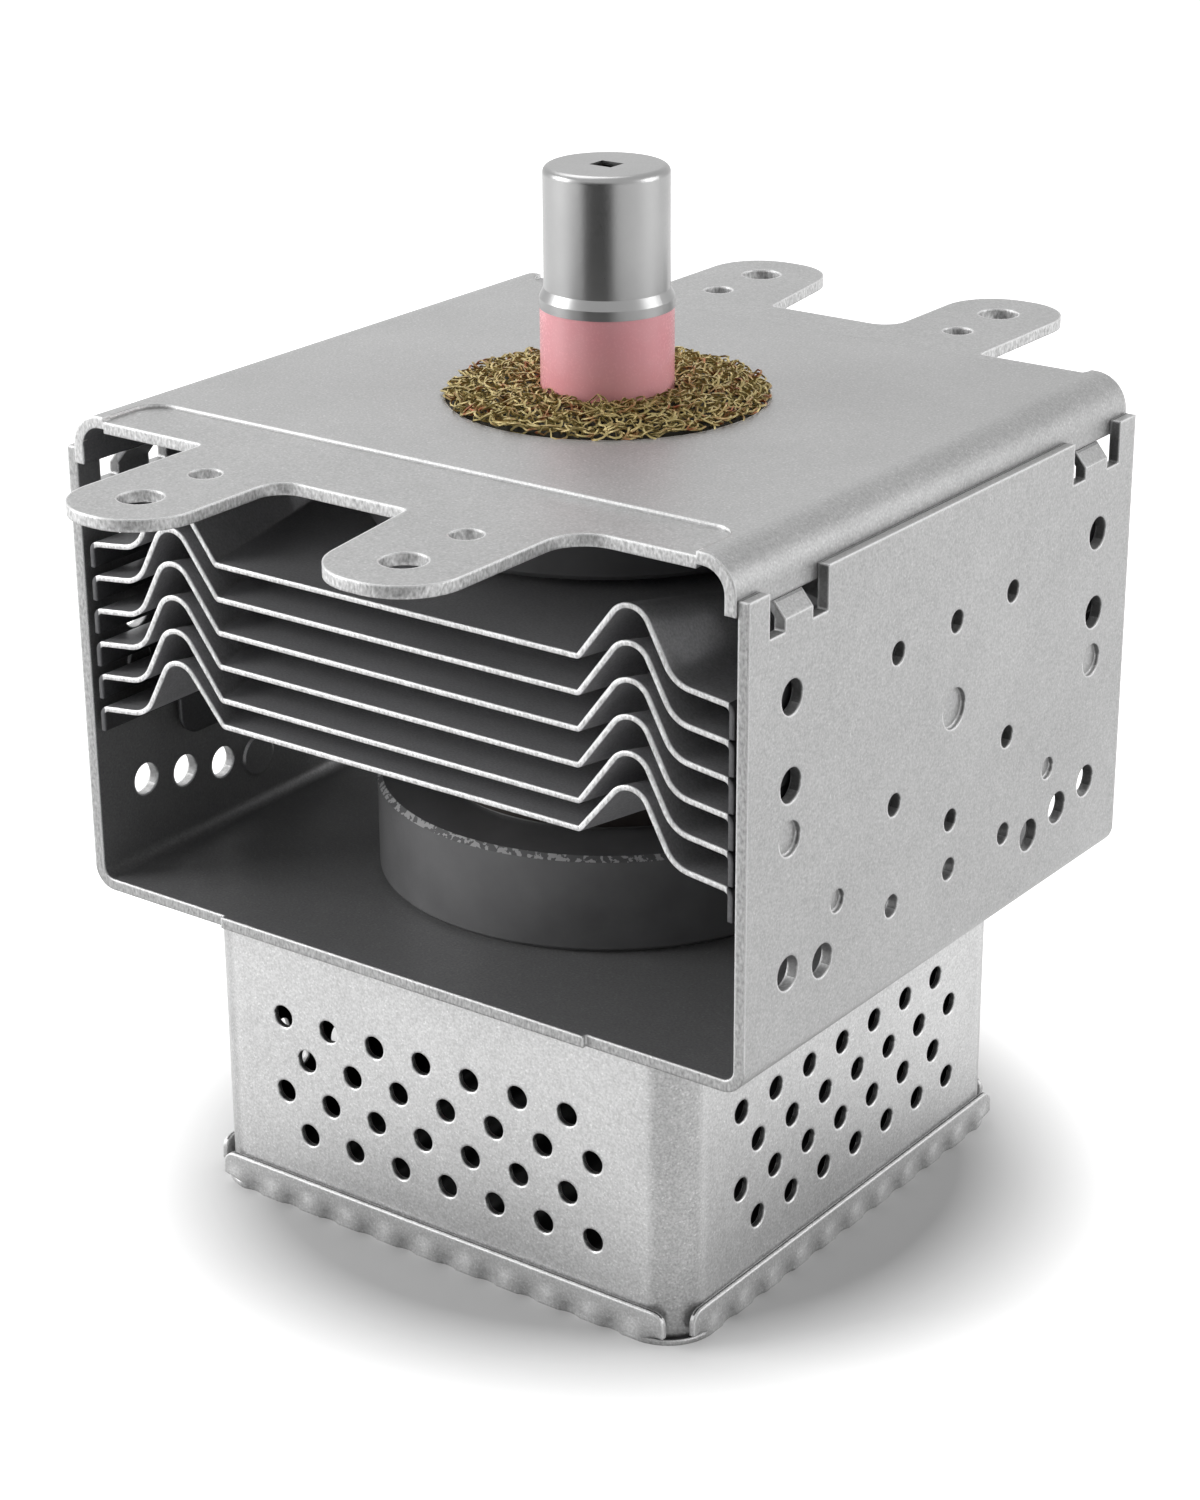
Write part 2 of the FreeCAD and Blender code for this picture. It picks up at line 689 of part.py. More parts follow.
def vane_edge(side, inner_touches):
    """Upper (side 1) or lower (side -1) edge of a vane, outwards, with its strap notch."""
    level = f"{ANODE_MIDDLE} + {side} * vane_height / 2"
    touching = f"{level} - {side} * strap_height"
    clear = f"{level} - {side} * (strap_height + strap_recess)"
    first, second = (touching, clear) if inner_touches else (clear, touching)
    start = "strap_inner - strap_recess"
    middle = "strap_inner + strap_width + strap_space / 2"
    end = "strap_inner + 2 * strap_width + strap_space + strap_recess"
    return [
        ("vane_inner", level), (start, level), (start, first), (middle, first), (middle, second),
        (end, second), (end, level), ("anode_bore + vane_thick / 4", level),
    ]


def straps():
    """Two strap rings above and two below the vanes, in the vanes' notches."""
    for name, side in (("upper", 1), ("lower", -1)):
        level = f"{ANODE_MIDDLE} + {side} * vane_height / 2"
        floor = f"{level} - {side} * strap_height"
        for place, inner in (("inner", "strap_inner"), ("outer", "strap_inner + strap_width + strap_space")):
            outer = f"{inner} + strap_width"
            turned(f"{name}_strap_{place}", [(inner, floor), (outer, floor), (outer, level), (inner, level)])


def pole_pieces():
    """Steel funnels that lead the magnets' field into the gap round the cathode."""
    for name, side, face in (("upper", 1, ANODE_TOP), ("lower", -1, ANODE_LOW)):
        inner_face = f"{face} - {side} * pole_sheet"
        nose = f"{face} - {side} * (pole_sheet + pole_cone)"
        funnel = turned(f"{name}_pole_piece", [
            ("pole_radius", face), ("pole_radius", inner_face), ("pole_cone_radius", inner_face),
            ("pole_nose", nose), ("pole_bore", nose), ("pole_bore", f"{face} - {side} * pole_cone"),
            ("pole_cone_radius - pole_sheet / 2", face),
        ])
        if side == 1:
            window = sketch(funnel, "XY", face)
            circle(window, "antenna_pass", "0", "2.4 * antenna_lead")
            pocket(funnel, window, "pole_sheet + pole_cone")


def seal_cups():
    """Thin steel cups that close the anode's ends and carry the two ceramics."""
    cups = [("upper", 1, STACK_TOP, ANODE_TOP, "-ceramic_foot"),
            ("lower", -1, STACK_LOW, ANODE_LOW, "-stem_top")]
    for name, side, flange, inner_face, end in cups:
        shelf = f"{end} - {side} * seal_sheet"
        turned(f"{name}_seal_cup", [
            ("seal_tube", flange), ("seal_flange", flange), ("seal_flange", inner_face),
            ("seal_tube - seal_sheet", inner_face), ("seal_tube - seal_sheet", shelf),
            ("ceramic_bore", shelf), ("ceramic_bore", end), ("seal_tube", end),
        ])


def bent_rod(corners, radius, bend):
    """Round rod along straight runs in the XZ plane, with an arc at each corner."""
    points = [Vector(across, 0, level) for across, level in corners]
    edges = []
    start = points[0]
    for before, corner, after in zip(points, points[1:], points[2:]):
        to_before = (before - corner).normalize()
        to_after = (after - corner).normalize()
        half_angle = to_before.getAngle(to_after) / 2
        first = corner + to_before * (bend / math.tan(half_angle))
        last = corner + to_after * (bend / math.tan(half_angle))
        middle = corner + (to_before + to_after).normalize() * (bend / math.sin(half_angle) - bend)
        edges.append(Part.LineSegment(start, first).toShape())
        edges.append(Part.Arc(first, middle, last).toShape())
        start = last
    edges.append(Part.LineSegment(start, points[-1]).toShape())
    ring = Part.Wire(Part.makeCircle(radius, points[0], points[1] - points[0]))
    return Part.Wire(edges).makePipeShell([ring], True, True)


def coil(radius, wire, turns, length):
    """Helix of round wire about Z, from level 0 to its length, bent in short straight steps."""
    steps = round(COIL_STEPS * turns)
    points = []
    for step in range(steps + 1):
        angle = 2 * math.pi * turns * step / steps
        points.append(Vector(radius * math.cos(angle), radius * math.sin(angle), length * step / steps))
    ring = Part.Wire(Part.makeCircle(wire, points[0], points[1] - points[0]))
    return Part.makePolygon(points).makePipeShell([ring], True, False, 1)


FILAMENT_TOP = f"{ANODE_MIDDLE} + vane_height / 2 + filament_wire"
FILAMENT_LOW = f"{ANODE_MIDDLE} - vane_height / 2 - filament_wire"


def cathode():
    """Helical filament between two end hats, on a centre lead and a side lead."""
    length = size("vane_height")
    wire = coil(size("filament_radius"), size("filament_wire"), size("filament_turns"), length)
    filament = shaped("cathode_filament", wire)
    filament.setExpression("Placement.Base.z", full(f"{ANODE_MIDDLE} - vane_height / 2"))
    turned("upper_end_hat", [
        ("0", FILAMENT_TOP), ("hat_radius", FILAMENT_TOP),
        ("hat_radius", f"{FILAMENT_TOP} + hat_thick"), ("0", f"{FILAMENT_TOP} + hat_thick"),
    ])
    bore = "lead_radius + seal_clearance"
    turned("lower_end_hat", [
        (bore, f"{FILAMENT_LOW} - hat_thick"), ("hat_radius", f"{FILAMENT_LOW} - hat_thick"),
        ("hat_radius", FILAMENT_LOW), (bore, FILAMENT_LOW),
    ])
    foot = "-stem_top - stem_length"
    rod("centre_lead", "0", FILAMENT_TOP, foot, "lead_radius")
    rod("side_lead", "side_lead_reach", f"{FILAMENT_LOW} - hat_thick", foot, "lead_radius")


def rod(label, across, top, foot, radius):
    """Upright round rod at a distance along X from the axis."""
    piece = body(label)
    ring = sketch(piece, "XY", foot)
    circle(ring, across, "0", radius)
    pad(piece, ring, f"({top}) - ({foot})")


def stem():
    """Ceramic stem under the lower cup with its two leads and their terminals."""
    ceramic = body("stem_ceramic")
    face = sketch(ceramic, "XY", "-stem_top")
    circle(face, "0", "0", "stem_radius")
    circle(face, "side_lead_reach", "0", "lead_radius")
    circle(face, "0", "0", "lead_radius")
    pad(ceramic, face, "stem_length", back=True)
    foot = "-stem_top - stem_length"
    split = "side_lead_reach / 2"
    for label, side in (("centre_terminal", -1), ("side_terminal", 1)):
        terminal = body(label)
        profile = sketch(terminal, "XZ")
        inner = f"{split} + {side} * lead_radius / 2"
        outer = f"{side} * (choke_spacing + terminal_thick / 2)"
        outline(profile, [
            (inner, foot), (outer, foot), (outer, f"{foot} - terminal_thick - terminal_blade"),
            (f"{outer} - {side} * terminal_thick", f"{foot} - terminal_thick - terminal_blade"),
            (f"{outer} - {side} * terminal_thick", f"{foot} - terminal_thick"),
            (inner, f"{foot} - terminal_thick"),
        ])
        pad(terminal, profile, "terminal_width", both=True)


def antenna():
    """Output side: lead, ceramic, top seal, exhaust tube and the drawn steel cap over them."""
    vane_top = size(f"{ANODE_MIDDLE} + vane_height / 2")
    root, through = size("antenna_root"), size("antenna_pass")
    bend, radius = size("antenna_bend"), size("antenna_lead")
    cone_middle = size(f"{ANODE_TOP} - pole_sheet / 2 - pole_cone / 2")
    slope = (root - through) / (cone_middle - vane_top - 2 * bend)
    rise = root / slope
    lead_top = size("exhaust_top - exhaust_radius + exhaust_bore")
    corners = [(root, vane_top), (root, vane_top + 2 * bend), (0, vane_top + 2 * bend + rise), (0, lead_top)]
    shaped("antenna_lead", bent_rod(corners, radius, bend))
    turned("antenna_ceramic", [
        ("ceramic_bore", "-ceramic_foot"), ("ceramic_radius", "-ceramic_foot"),
        ("ceramic_radius", "cap_base"), ("ceramic_bore", "cap_base"),
    ])
    turned("antenna_seal", [
        ("exhaust_radius", "cap_base"), ("cap_radius - cap_sheet - seal_clearance", "cap_base"),
        ("cap_radius - cap_sheet - seal_clearance", "cap_base + seal_sheet"),
        ("exhaust_radius + seal_sheet", "cap_base + seal_sheet"),
        ("exhaust_radius + seal_sheet", "cap_base + ceramic_foot"),
        ("exhaust_radius", "cap_base + ceramic_foot"),
    ])
    turned("exhaust_tube", [
        ("exhaust_bore", "cap_base"), ("exhaust_radius", "cap_base"),
        ("exhaust_radius", "exhaust_top", "0.8 * exhaust_radius"), ("0", "exhaust_top"),
        ("0", "exhaust_top - exhaust_radius + exhaust_bore"),
        ("exhaust_bore", "exhaust_top - exhaust_radius + exhaust_bore"),
    ])
    cap = turned("antenna_cap", [
        ("0", "cap_height"), ("cap_radius", "cap_height", "cap_edge"), ("cap_radius", "cap_base + cap_flare"),
        ("cap_rim", "cap_base + cap_flare / 2"), ("cap_rim", "cap_base"), ("cap_rim - cap_sheet", "cap_base"),
        ("cap_rim - cap_sheet", "cap_base + cap_flare / 2 - cap_sheet / 4"),
        ("cap_radius - cap_sheet", "cap_base + cap_flare - cap_sheet / 4"),
        ("cap_radius - cap_sheet", "cap_height - cap_sheet", "cap_edge - cap_sheet"),
        ("0", "cap_height - cap_sheet"),
    ])
    slot = sketch(cap, "XY", "cap_height")
    rectangle(slot, "-cap_slot_long / 2", "cap_slot_long / 2", "-cap_slot_wide / 2", "cap_slot_wide / 2")
    pocket(cap, slot, "2 * cap_sheet")


def rf_gasket():
    """Ring of knitted wire mesh in the plate's hole. It stands a little above the plate."""
    turned("rf_gasket", [
        ("gasket_inner", MAGNET_TOP), ("gasket_outer", MAGNET_TOP),
        ("gasket_outer", "gasket_top", "gasket_edge"), ("gasket_inner", "gasket_top", "gasket_edge / 2"),
    ])


def filter_box():
    """Deep-drawn steel box under the yoke, perforated on the front and on both sides."""
    box = body("filter_box")
    outer = sketch(box, "XY", "-yoke_base")
    rectangle(outer, "-box_side / 2", "box_side / 2", "-box_side / 2", "box_side / 2", "box_corner")
    pad(box, outer, "box_base - yoke_base", back=True)
    room = sketch(box, "XY", "-yoke_base - box_sheet")
    half = "(box_side / 2 - box_sheet)"
    rectangle(room, f"-{half}", half, f"-{half}", half, "box_corner - box_sheet")
    pocket(box, room, "box_base - yoke_base")
    top = sketch(box, "XY", "-yoke_base")
    circle(top, "0", "0", "floor_hole")
    pocket(box, top, "2 * box_sheet")
    front = sketch(box, "XZ", "box_side / 2 + box_sheet")
    grille(front)
    pocket(box, front, "3 * box_sheet")
    sides = sketch(box, "YZ")
    grille(sides)
    pocket(box, sides, "2 * box_side", both=True)
    back = sketch(box, "XZ", "-box_side / 2 - box_sheet")
    window_half = "(capacitor_width / 2 + capacitor_gap)"
    window_low = f"{CAPACITOR_LEVEL} - capacitor_height / 2 - capacitor_gap"
    window_high = f"{CAPACITOR_LEVEL} + capacitor_height / 2 + capacitor_gap"
    rectangle(back, f"-{window_half}", window_half, window_low, window_high, "capacitor_height / 4")
    for side in (-1, 1):
        circle(back, f"{side} * rivet_spacing / 2", CAPACITOR_LEVEL, "rivet_radius")
    pocket(box, back, "3 * box_sheet", back=True)


def grille(drawn):
    """Staggered rows of round holes, the same on each wall that has them."""
    for row in range(GRILLE_ROWS):
        shift = (row % 2 - 0.5) / 2
        for column in range(int(size("grille_count"))):
            across = f"({column} - (grille_count - 1) / 2 + {shift}) * grille_pitch"
            circle(drawn, across, f"-grille_top - {row} * grille_row", "grille_hole")


def filter_lid():
    """Pressed lid with four flanges that grip the box outside. Its corners are open."""
    lid = doc.addObject("PartDesign::Body", "lid_sheet_body")
    half = "(box_side / 2 + lid_gap + lid_sheet)"
    floor = sketch(lid, "XY", "-box_base")
    rectangle(floor, f"-{half}", half, f"-{half}", half, "box_corner + lid_gap + lid_sheet")
    pad(lid, floor, "lid_sheet", back=True)
    for plane in ("XZ", "YZ"):
        for side in (-1, 1):
            flange = sketch(lid, plane, f"{side} * {half}")
            corner = ("lid_flange_corner",)
            low, high = "-box_base - lid_sheet", "-box_base - lid_sheet + lid_flange"
            outline(flange, [
                ("-lid_flange_foot", low), ("lid_flange_foot", low), ("lid_flange_foot", "-box_base"),
                ("lid_flange_half", "-box_base + lid_sheet"), ("lid_flange_half", high) + corner,
                ("-lid_flange_half", high) + corner, ("-lid_flange_half", "-box_base + lid_sheet"),
                ("-lid_flange_foot", "-box_base"),
            ])
            pad(lid, flange, "lid_sheet", back=(side > 0))
    dented = doc.addObject("Part::Cut", "dented_lid")
    dented.Base = lid
    dented.Tool = lid_dents(f"{half} - dent_depth + dent_radius")
    keep(dented, "filter_lid")


def lid_dents(reach):
    """The crimping tool's round marks along the four flanges' lower edges."""
    marks = []
    count = int(size("dent_count"))
    for side in (-1, 1):
        for number in range(count):
            step = f"({number} - (dent_count - 1) / 2) * dent_pitch"
            for across, along in ((f"{step} + dent_shift", f"{side} * ({reach})"),
                                  (f"{side} * ({reach})", f"{step} - dent_shift")):
                mark = doc.addObject("Part::Sphere", "dent")
                bind(mark, Radius="dent_radius")
                level = "-box_base - lid_sheet + dent_height"
                for axis, text in (("x", across), ("y", along), ("z", level)):
                    mark.setExpression(f"Placement.Base.{axis}", full(text))
                marks.append(mark)
    together = doc.addObject("Part::MultiFuse", "dents")
    together.Shapes = marks
    return together


CAPACITOR_LEVEL = "-choke_level + choke_radius"
CHOKE_END = "terminal_width / 2 + 2 * choke_tail + choke_length"


def chokes():
    """Two choke coils on ferrite rods, from the stem's terminals to the capacitor's studs."""
    level = size("-choke_level")
    start = size("terminal_width / 2 + choke_tail")
    length, radius, wire = size("choke_length"), size("choke_radius"), size("choke_wire")
    tail = size("choke_tail")
    for number, side in ((1, -1), (2, 1)):
        winding = coil(radius, wire, size("choke_turns"), length)
        winding.rotate(Vector(), Vector(0, 0, 1), 90)
        winding.rotate(Vector(), Vector(1, 0, 0), -90)
        winding.rotate(Vector(), Vector(0, 1, 0), 180)
        across = side * size("choke_spacing")
        winding.translate(Vector(across, start, level))
        near = Vector(across, start - tail, level + radius)
        far = Vector(across, start + length + tail, level + radius)
        tails = [Part.makeCylinder(wire, tail + wire / 2, near, Vector(0, 1, 0)),
                 Part.makeCylinder(wire, tail + wire / 2, far, Vector(0, -1, 0))]
        shaped(f"choke_coil_{number}", winding.fuse(tails))
        core = keep(doc.addObject("Part::Cylinder", f"core_{number}"), f"choke_core_{number}")
        bind(core, Radius="core_radius", Height="choke_length")
        core.Placement = Placement(Vector(), Rotation(Vector(1, 0, 0), -90))
        for axis, text in (("x", f"{side} * choke_spacing"), ("y", "terminal_width / 2 + choke_tail"),
                           ("z", "-choke_level")):
            core.setExpression(f"Placement.Base.{axis}", full(text))


def capacitor():
    """Feed-through capacitor in the box's back wall: block, flange plate, terminals and rivets."""
    wall = "box_side / 2"
    block = body("capacitor_body")
    face = sketch(block, "XZ", f"-({wall} + capacitor_depth)")
    width, height = "capacitor_width / 2", "capacitor_height / 2"
    rectangle(face, f"-{width}", width, f"{CAPACITOR_LEVEL} - {height}", f"{CAPACITOR_LEVEL} + {height}",
              "capacitor_height / 4")
    for side in (-1, 1):
        circle(face, f"{side} * choke_spacing", CAPACITOR_LEVEL, "stud_radius")
    pad(block, face, "capacitor_depth + capacitor_inside")
    plate = body("capacitor_plate")
    outer = sketch(plate, "XZ", f"-({wall})")
    half, rise = "capacitor_plate_width / 2", "capacitor_plate_height / 2"
    rectangle(outer, f"-{half}", half, f"{CAPACITOR_LEVEL} - {rise}", f"{CAPACITOR_LEVEL} + {rise}",
              "rivet_radius")
    rectangle(outer, f"-{width}", width, f"{CAPACITOR_LEVEL} - {height}", f"{CAPACITOR_LEVEL} + {height}",
              "capacitor_height / 4")
    for side in (-1, 1):
        circle(outer, f"{side} * rivet_spacing / 2", CAPACITOR_LEVEL, "rivet_radius")
    pad(plate, outer, "capacitor_plate_sheet", back=True)
    for number, side in ((1, -1), (2, 1)):
        capacitor_terminal(number, side, wall)
    rivets(wall)


def capacitor_terminal(number, side, wall):
    """Stud through the block with a flat blade outside for a push-on connector."""
    terminal = body(f"capacitor_terminal_{number}")
    stud = sketch(terminal, "XZ", f"-({CHOKE_END})")
    circle(stud, f"{side} * choke_spacing", CAPACITOR_LEVEL, "stud_radius")
    pad(terminal, stud, f"{wall} + capacitor_depth - ({CHOKE_END})", back=True)
    blade = sketch(terminal, "XZ", f"-({wall} + capacitor_depth)")
    across = f"{side} * choke_spacing"
    half_width, half_thick = "capacitor_terminal_width / 2", "capacitor_terminal_thick / 2"
    rectangle(blade, f"{across} - {half_width}", f"{across} + {half_width}",
              f"{CAPACITOR_LEVEL} - {half_thick}", f"{CAPACITOR_LEVEL} + {half_thick}")
    pad(terminal, blade, "capacitor_terminal_length", back=True)


def rivets(wall):
    """The two rivets of the flange plate: shank through wall and plate, a head on each side."""
    parts = []
    lengths = (("rivet_radius", f"{wall} - box_sheet", "box_sheet + capacitor_plate_sheet"),
               ("rivet_head", f"{wall} + capacitor_plate_sheet", "rivet_rise"),
               ("rivet_head", f"{wall} - box_sheet - rivet_rise", "rivet_rise"))
    for side in (-1, 1):
        for radius, start, length in lengths:
            part = doc.addObject("Part::Cylinder", "rivet")
            bind(part, Radius=radius, Height=length)
            part.Placement = Placement(Vector(), Rotation(Vector(1, 0, 0), -90))
            part.setExpression("Placement.Base.x", full(f"{side} * rivet_spacing / 2"))
            part.setExpression("Placement.Base.y", full(start))
            part.setExpression("Placement.Base.z", full(CAPACITOR_LEVEL))
            parts.append(part)
    both = doc.addObject("Part::MultiFuse", "rivet_pair")
    both.Shapes = parts
    keep(both, "capacitor_rivets")


def check():
    """Stop if any object failed or any sub-part is empty or broken."""
    for item in doc.Objects:
        if "Invalid" in item.State or "Error" in item.State:
            raise RuntimeError(f"{item.Label} failed: {item.State}")
    for node in NODES:
        if node.Shape.isNull() or not node.Shape.isValid() or not node.Shape.Solids:
            raise RuntimeError(f"{node.Label} has no sound shape")


mounting_plate()
yoke_frame()
magnet("upper_magnet", MAGNET_TOP)
magnet("lower_magnet", STACK_LOW)
fins()
anode_cylinder()
vanes()
straps()
pole_pieces()
seal_cups()
cathode()
stem()
antenna()
rf_gasket()
filter_box()
filter_lid()
chokes()
capacitor()
doc.recompute()
check()
os.makedirs("parts", exist_ok=True)
for node in NODES:
    node.Shape.exportStep(f"parts/{node.Label}.step")
print(len(NODES), "sub-parts written")
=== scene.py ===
# %% [markdown]
# # A magnetron, dressed around its solid model
#
# The solid model gives every piece its true form and place. This lesson adds what the eye reads
# as steel, aluminium, ferrite and ceramic, knits the wire gasket round the antenna, and sets up
# the studio.

# %% The solid model as a fixed frame
import math
import random

import bpy
from mathutils import Matrix, Vector


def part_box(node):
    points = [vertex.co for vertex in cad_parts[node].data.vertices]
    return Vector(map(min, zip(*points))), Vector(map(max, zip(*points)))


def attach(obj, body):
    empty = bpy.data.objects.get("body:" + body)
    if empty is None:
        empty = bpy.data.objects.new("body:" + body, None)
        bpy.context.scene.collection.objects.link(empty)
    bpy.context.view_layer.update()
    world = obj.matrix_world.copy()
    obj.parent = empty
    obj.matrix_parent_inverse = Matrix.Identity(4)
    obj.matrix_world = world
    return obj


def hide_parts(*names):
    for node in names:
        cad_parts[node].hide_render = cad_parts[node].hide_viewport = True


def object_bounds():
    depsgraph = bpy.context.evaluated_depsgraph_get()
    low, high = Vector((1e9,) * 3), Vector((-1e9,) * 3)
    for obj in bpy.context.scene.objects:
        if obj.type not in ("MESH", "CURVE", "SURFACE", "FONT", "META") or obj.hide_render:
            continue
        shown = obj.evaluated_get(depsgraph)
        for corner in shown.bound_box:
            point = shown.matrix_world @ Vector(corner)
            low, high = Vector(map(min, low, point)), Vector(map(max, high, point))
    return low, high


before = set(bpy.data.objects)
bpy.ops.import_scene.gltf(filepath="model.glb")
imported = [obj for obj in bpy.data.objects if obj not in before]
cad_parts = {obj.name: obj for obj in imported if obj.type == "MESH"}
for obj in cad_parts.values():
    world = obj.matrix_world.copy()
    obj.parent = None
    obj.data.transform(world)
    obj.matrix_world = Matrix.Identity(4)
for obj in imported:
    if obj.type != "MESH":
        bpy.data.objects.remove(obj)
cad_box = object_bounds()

MM = 0.001
print("nodes:", len(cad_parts))

# %% [markdown]
# ## The camera
#
# The photograph was taken from above the front right corner with a long lens. The direction,
# distance and focal length below make the model's corners fall on the photograph's corners.
# A camera object could be aimed with a constraint, but a matrix built from three directions keeps
# the slight roll too, so that way was chosen. Lengths in this cell are in mm.

# %% Place the camera
PHOTO_WIDTH = 1200
SENSOR = 36.0
LENS_PIXELS = 3313.68
SHIFT_PIXELS = (2.4147, 1.1242)
AIM = Vector((0, 0, -30))
TURN = math.radians(36.325)
LIFT = math.radians(22.076)
ROLL = -0.0059
DISTANCE = 405.71
SLIDE = (-0.7841, -14.793)
NEAREST_SEEN = 10

forward = Vector((-math.sin(TURN) * math.cos(LIFT), math.cos(TURN) * math.cos(LIFT), -math.sin(LIFT)))
level_right = forward.cross(Vector((0, 0, 1))).normalized()
level_up = level_right.cross(forward)
right = level_right * math.cos(ROLL) + level_up * math.sin(ROLL)
up = level_up * math.cos(ROLL) - level_right * math.sin(ROLL)
eye = AIM - forward * DISTANCE + right * SLIDE[0] + up * SLIDE[1]

lens = bpy.data.cameras.new("studio_camera")
lens.sensor_fit = "HORIZONTAL"
lens.sensor_width = SENSOR
lens.lens = LENS_PIXELS / PHOTO_WIDTH * SENSOR
lens.shift_x = -SHIFT_PIXELS[0] / PHOTO_WIDTH
lens.shift_y = SHIFT_PIXELS[1] / PHOTO_WIDTH
lens.clip_start = NEAREST_SEEN * MM
camera = bpy.data.objects.new("studio_camera", lens)
bpy.context.scene.collection.objects.link(camera)
camera.matrix_world = Matrix((
    (right.x, up.x, -forward.x, eye.x * MM),
    (right.y, up.y, -forward.y, eye.y * MM),
    (right.z, up.z, -forward.z, eye.z * MM),
    (0, 0, 0, 1)))
bpy.context.scene.camera = camera
print("lens:", round(lens.lens, 2), "mm")

# %% [markdown]
# ## Helpers for every finish
#
# Colours are easiest to pick as the hex values that a screen shows. Shaders work with linear
# light, so one function turns them. A second one adds a node, sets it and feeds its sockets.
# A third starts a material, and a fourth turns a short rule, such as "faces the front, and lies
# near the outer face", into a mask.

# %% Colour, node and mask helpers


def linear(code):
    """Linear colour with alpha from a hex value such as BEBEBE."""
    parts = [int(code[i:i + 2], 16) / 255 for i in (0, 2, 4)]
    light = [part / 12.92 if part <= 0.04045 else ((part + 0.055) / 1.055) ** 2.4 for part in parts]
    return light + [1.0]


def add(tree, kind, fed, out=0, **settings):
    """Add a node, set it, feed its sockets with values or outputs, and give one of its outputs."""
    made = tree.nodes.new("ShaderNode" + kind)
    for name, value in settings.items():
        setattr(made, name, value)
    for socket, value in fed.items():
        if isinstance(value, bpy.types.NodeSocket):
            tree.links.new(value, made.inputs[socket])
        else:
            made.inputs[socket].default_value = value
    return made.outputs[out]


def start(name):
    """An empty material, its tree, its shader, and its sockets for place and facing."""
    material = bpy.data.materials.new(name)
    material.use_nodes = True
    tree = material.node_tree
    tree.nodes.clear()
    shader = tree.nodes.new("ShaderNodeBsdfPrincipled")
    tree.links.new(shader.outputs[0], tree.nodes.new("ShaderNodeOutputMaterial").inputs[0])
    place = tree.nodes.new("ShaderNodeTexCoord")
    return material, tree, shader, place.outputs["Object"], place.outputs["Normal"]


def mask(tree, place, facing, rule):
    """1 where any of the rule's lines holds. A line is tests such as ("x size", ">", 47.1) in mm.

    A test reads x, y or z, or the facing as nx, ny or nz, and "size" drops the sign.
    """
    either = None
    for line in rule:
        both = None
        for quantity, sign, limit in line:
            axis = quantity.split()[0]
            source, scale = (facing, 1) if axis[0] == "n" else (place, MM)
            reading = add(tree, "SeparateXYZ", {0: source}, out="XYZ".index(axis[-1].upper()))
            if "size" in quantity:
                reading = add(tree, "Math", {0: reading}, operation="ABSOLUTE")
            test = {"<": "LESS_THAN", ">": "GREATER_THAN"}[sign]
            holds = add(tree, "Math", {0: reading, 1: limit * scale}, operation=test)
            both = holds if both is None else add(tree, "Math", {0: both, 1: holds}, operation="MULTIPLY")
        either = both if either is None else add(tree, "Math", {0: either, 1: both}, operation="MAXIMUM")
    return either


print("white is", linear("FFFFFF")[0])

# %% [markdown]
# ## Sheet steel
#
# Zinc-coated steel is light grey and soft. Its skin is a fine grain of tiny crystals, some of
# which flash, under faint blotches and clouds. A picture of steel could be wrapped round the
# sheets, but noise made from the place itself has no seams and no repeats, so one recipe of
# noise serves all the sheets. The real grain is finer still, and is drawn as coarse as it needs
# to show.

# %% Tone of the zinc skin
GRAIN = 0.30 * MM
FLECK = 0.18 * MM
BLOTCH = 1.6 * MM
CLOUD = 16 * MM
BASE_TONE = 0.41
GRAIN_SHARE = 0.80
BLOTCH_SHARE = 0.14
CLOUD_SHARE = 0.18
FLASHES_FROM = 0.95


def zinc_tone(tree, place, sparkle):
    """The skin's tone, about 1, and its grain. One crystal in twenty flashes."""
    grain = add(tree, "TexNoise", {"Vector": place, "Scale": 1 / GRAIN, "Detail": 2.0})
    blotch = add(tree, "TexNoise", {"Vector": place, "Scale": 1 / BLOTCH, "Detail": 3.0})
    cloud = add(tree, "TexNoise", {"Vector": place, "Scale": 1 / CLOUD, "Detail": 2.0})
    fleck = add(tree, "TexVoronoi", {"Vector": place, "Scale": 1 / FLECK}, out=1)
    chance = add(tree, "SeparateXYZ", {0: fleck})
    flash = add(tree, "Math", {0: chance, 1: FLASHES_FROM}, operation="GREATER_THAN")
    tone = BASE_TONE
    shares = ((grain, GRAIN_SHARE), (blotch, BLOTCH_SHARE), (cloud, CLOUD_SHARE), (flash, sparkle))
    for source, share in shares:
        tone = add(tree, "Math", {0: source, 1: share, 2: tone}, operation="MULTIPLY_ADD")
    return tone, grain


print("grain of the zinc:", round(GRAIN / MM, 2), "mm")

# %% [markdown]
# Punching and handling round every edge by a few tenths of a millimetre. Bevelling the mesh would change
# the solid model, so a Bevel node bends the light there as a real rounding would. Where the bent normal
# leaves the face's own direction, a highlight is painted by mixing the skin with white. Edges that look
# down get hardly any painted highlight, so they stay as they are.

# %% Painted highlight on rounded edges
EDGE_ROUNDING = 0.5 * MM
EDGE_HIGHLIGHT = 0.9
HIGHLIGHT_STARTS = 0.985
HIGHLIGHT_IS_FULL = 0.85
LOOKS_DOWN = -0.12
LOOKS_LEVEL = 0.02


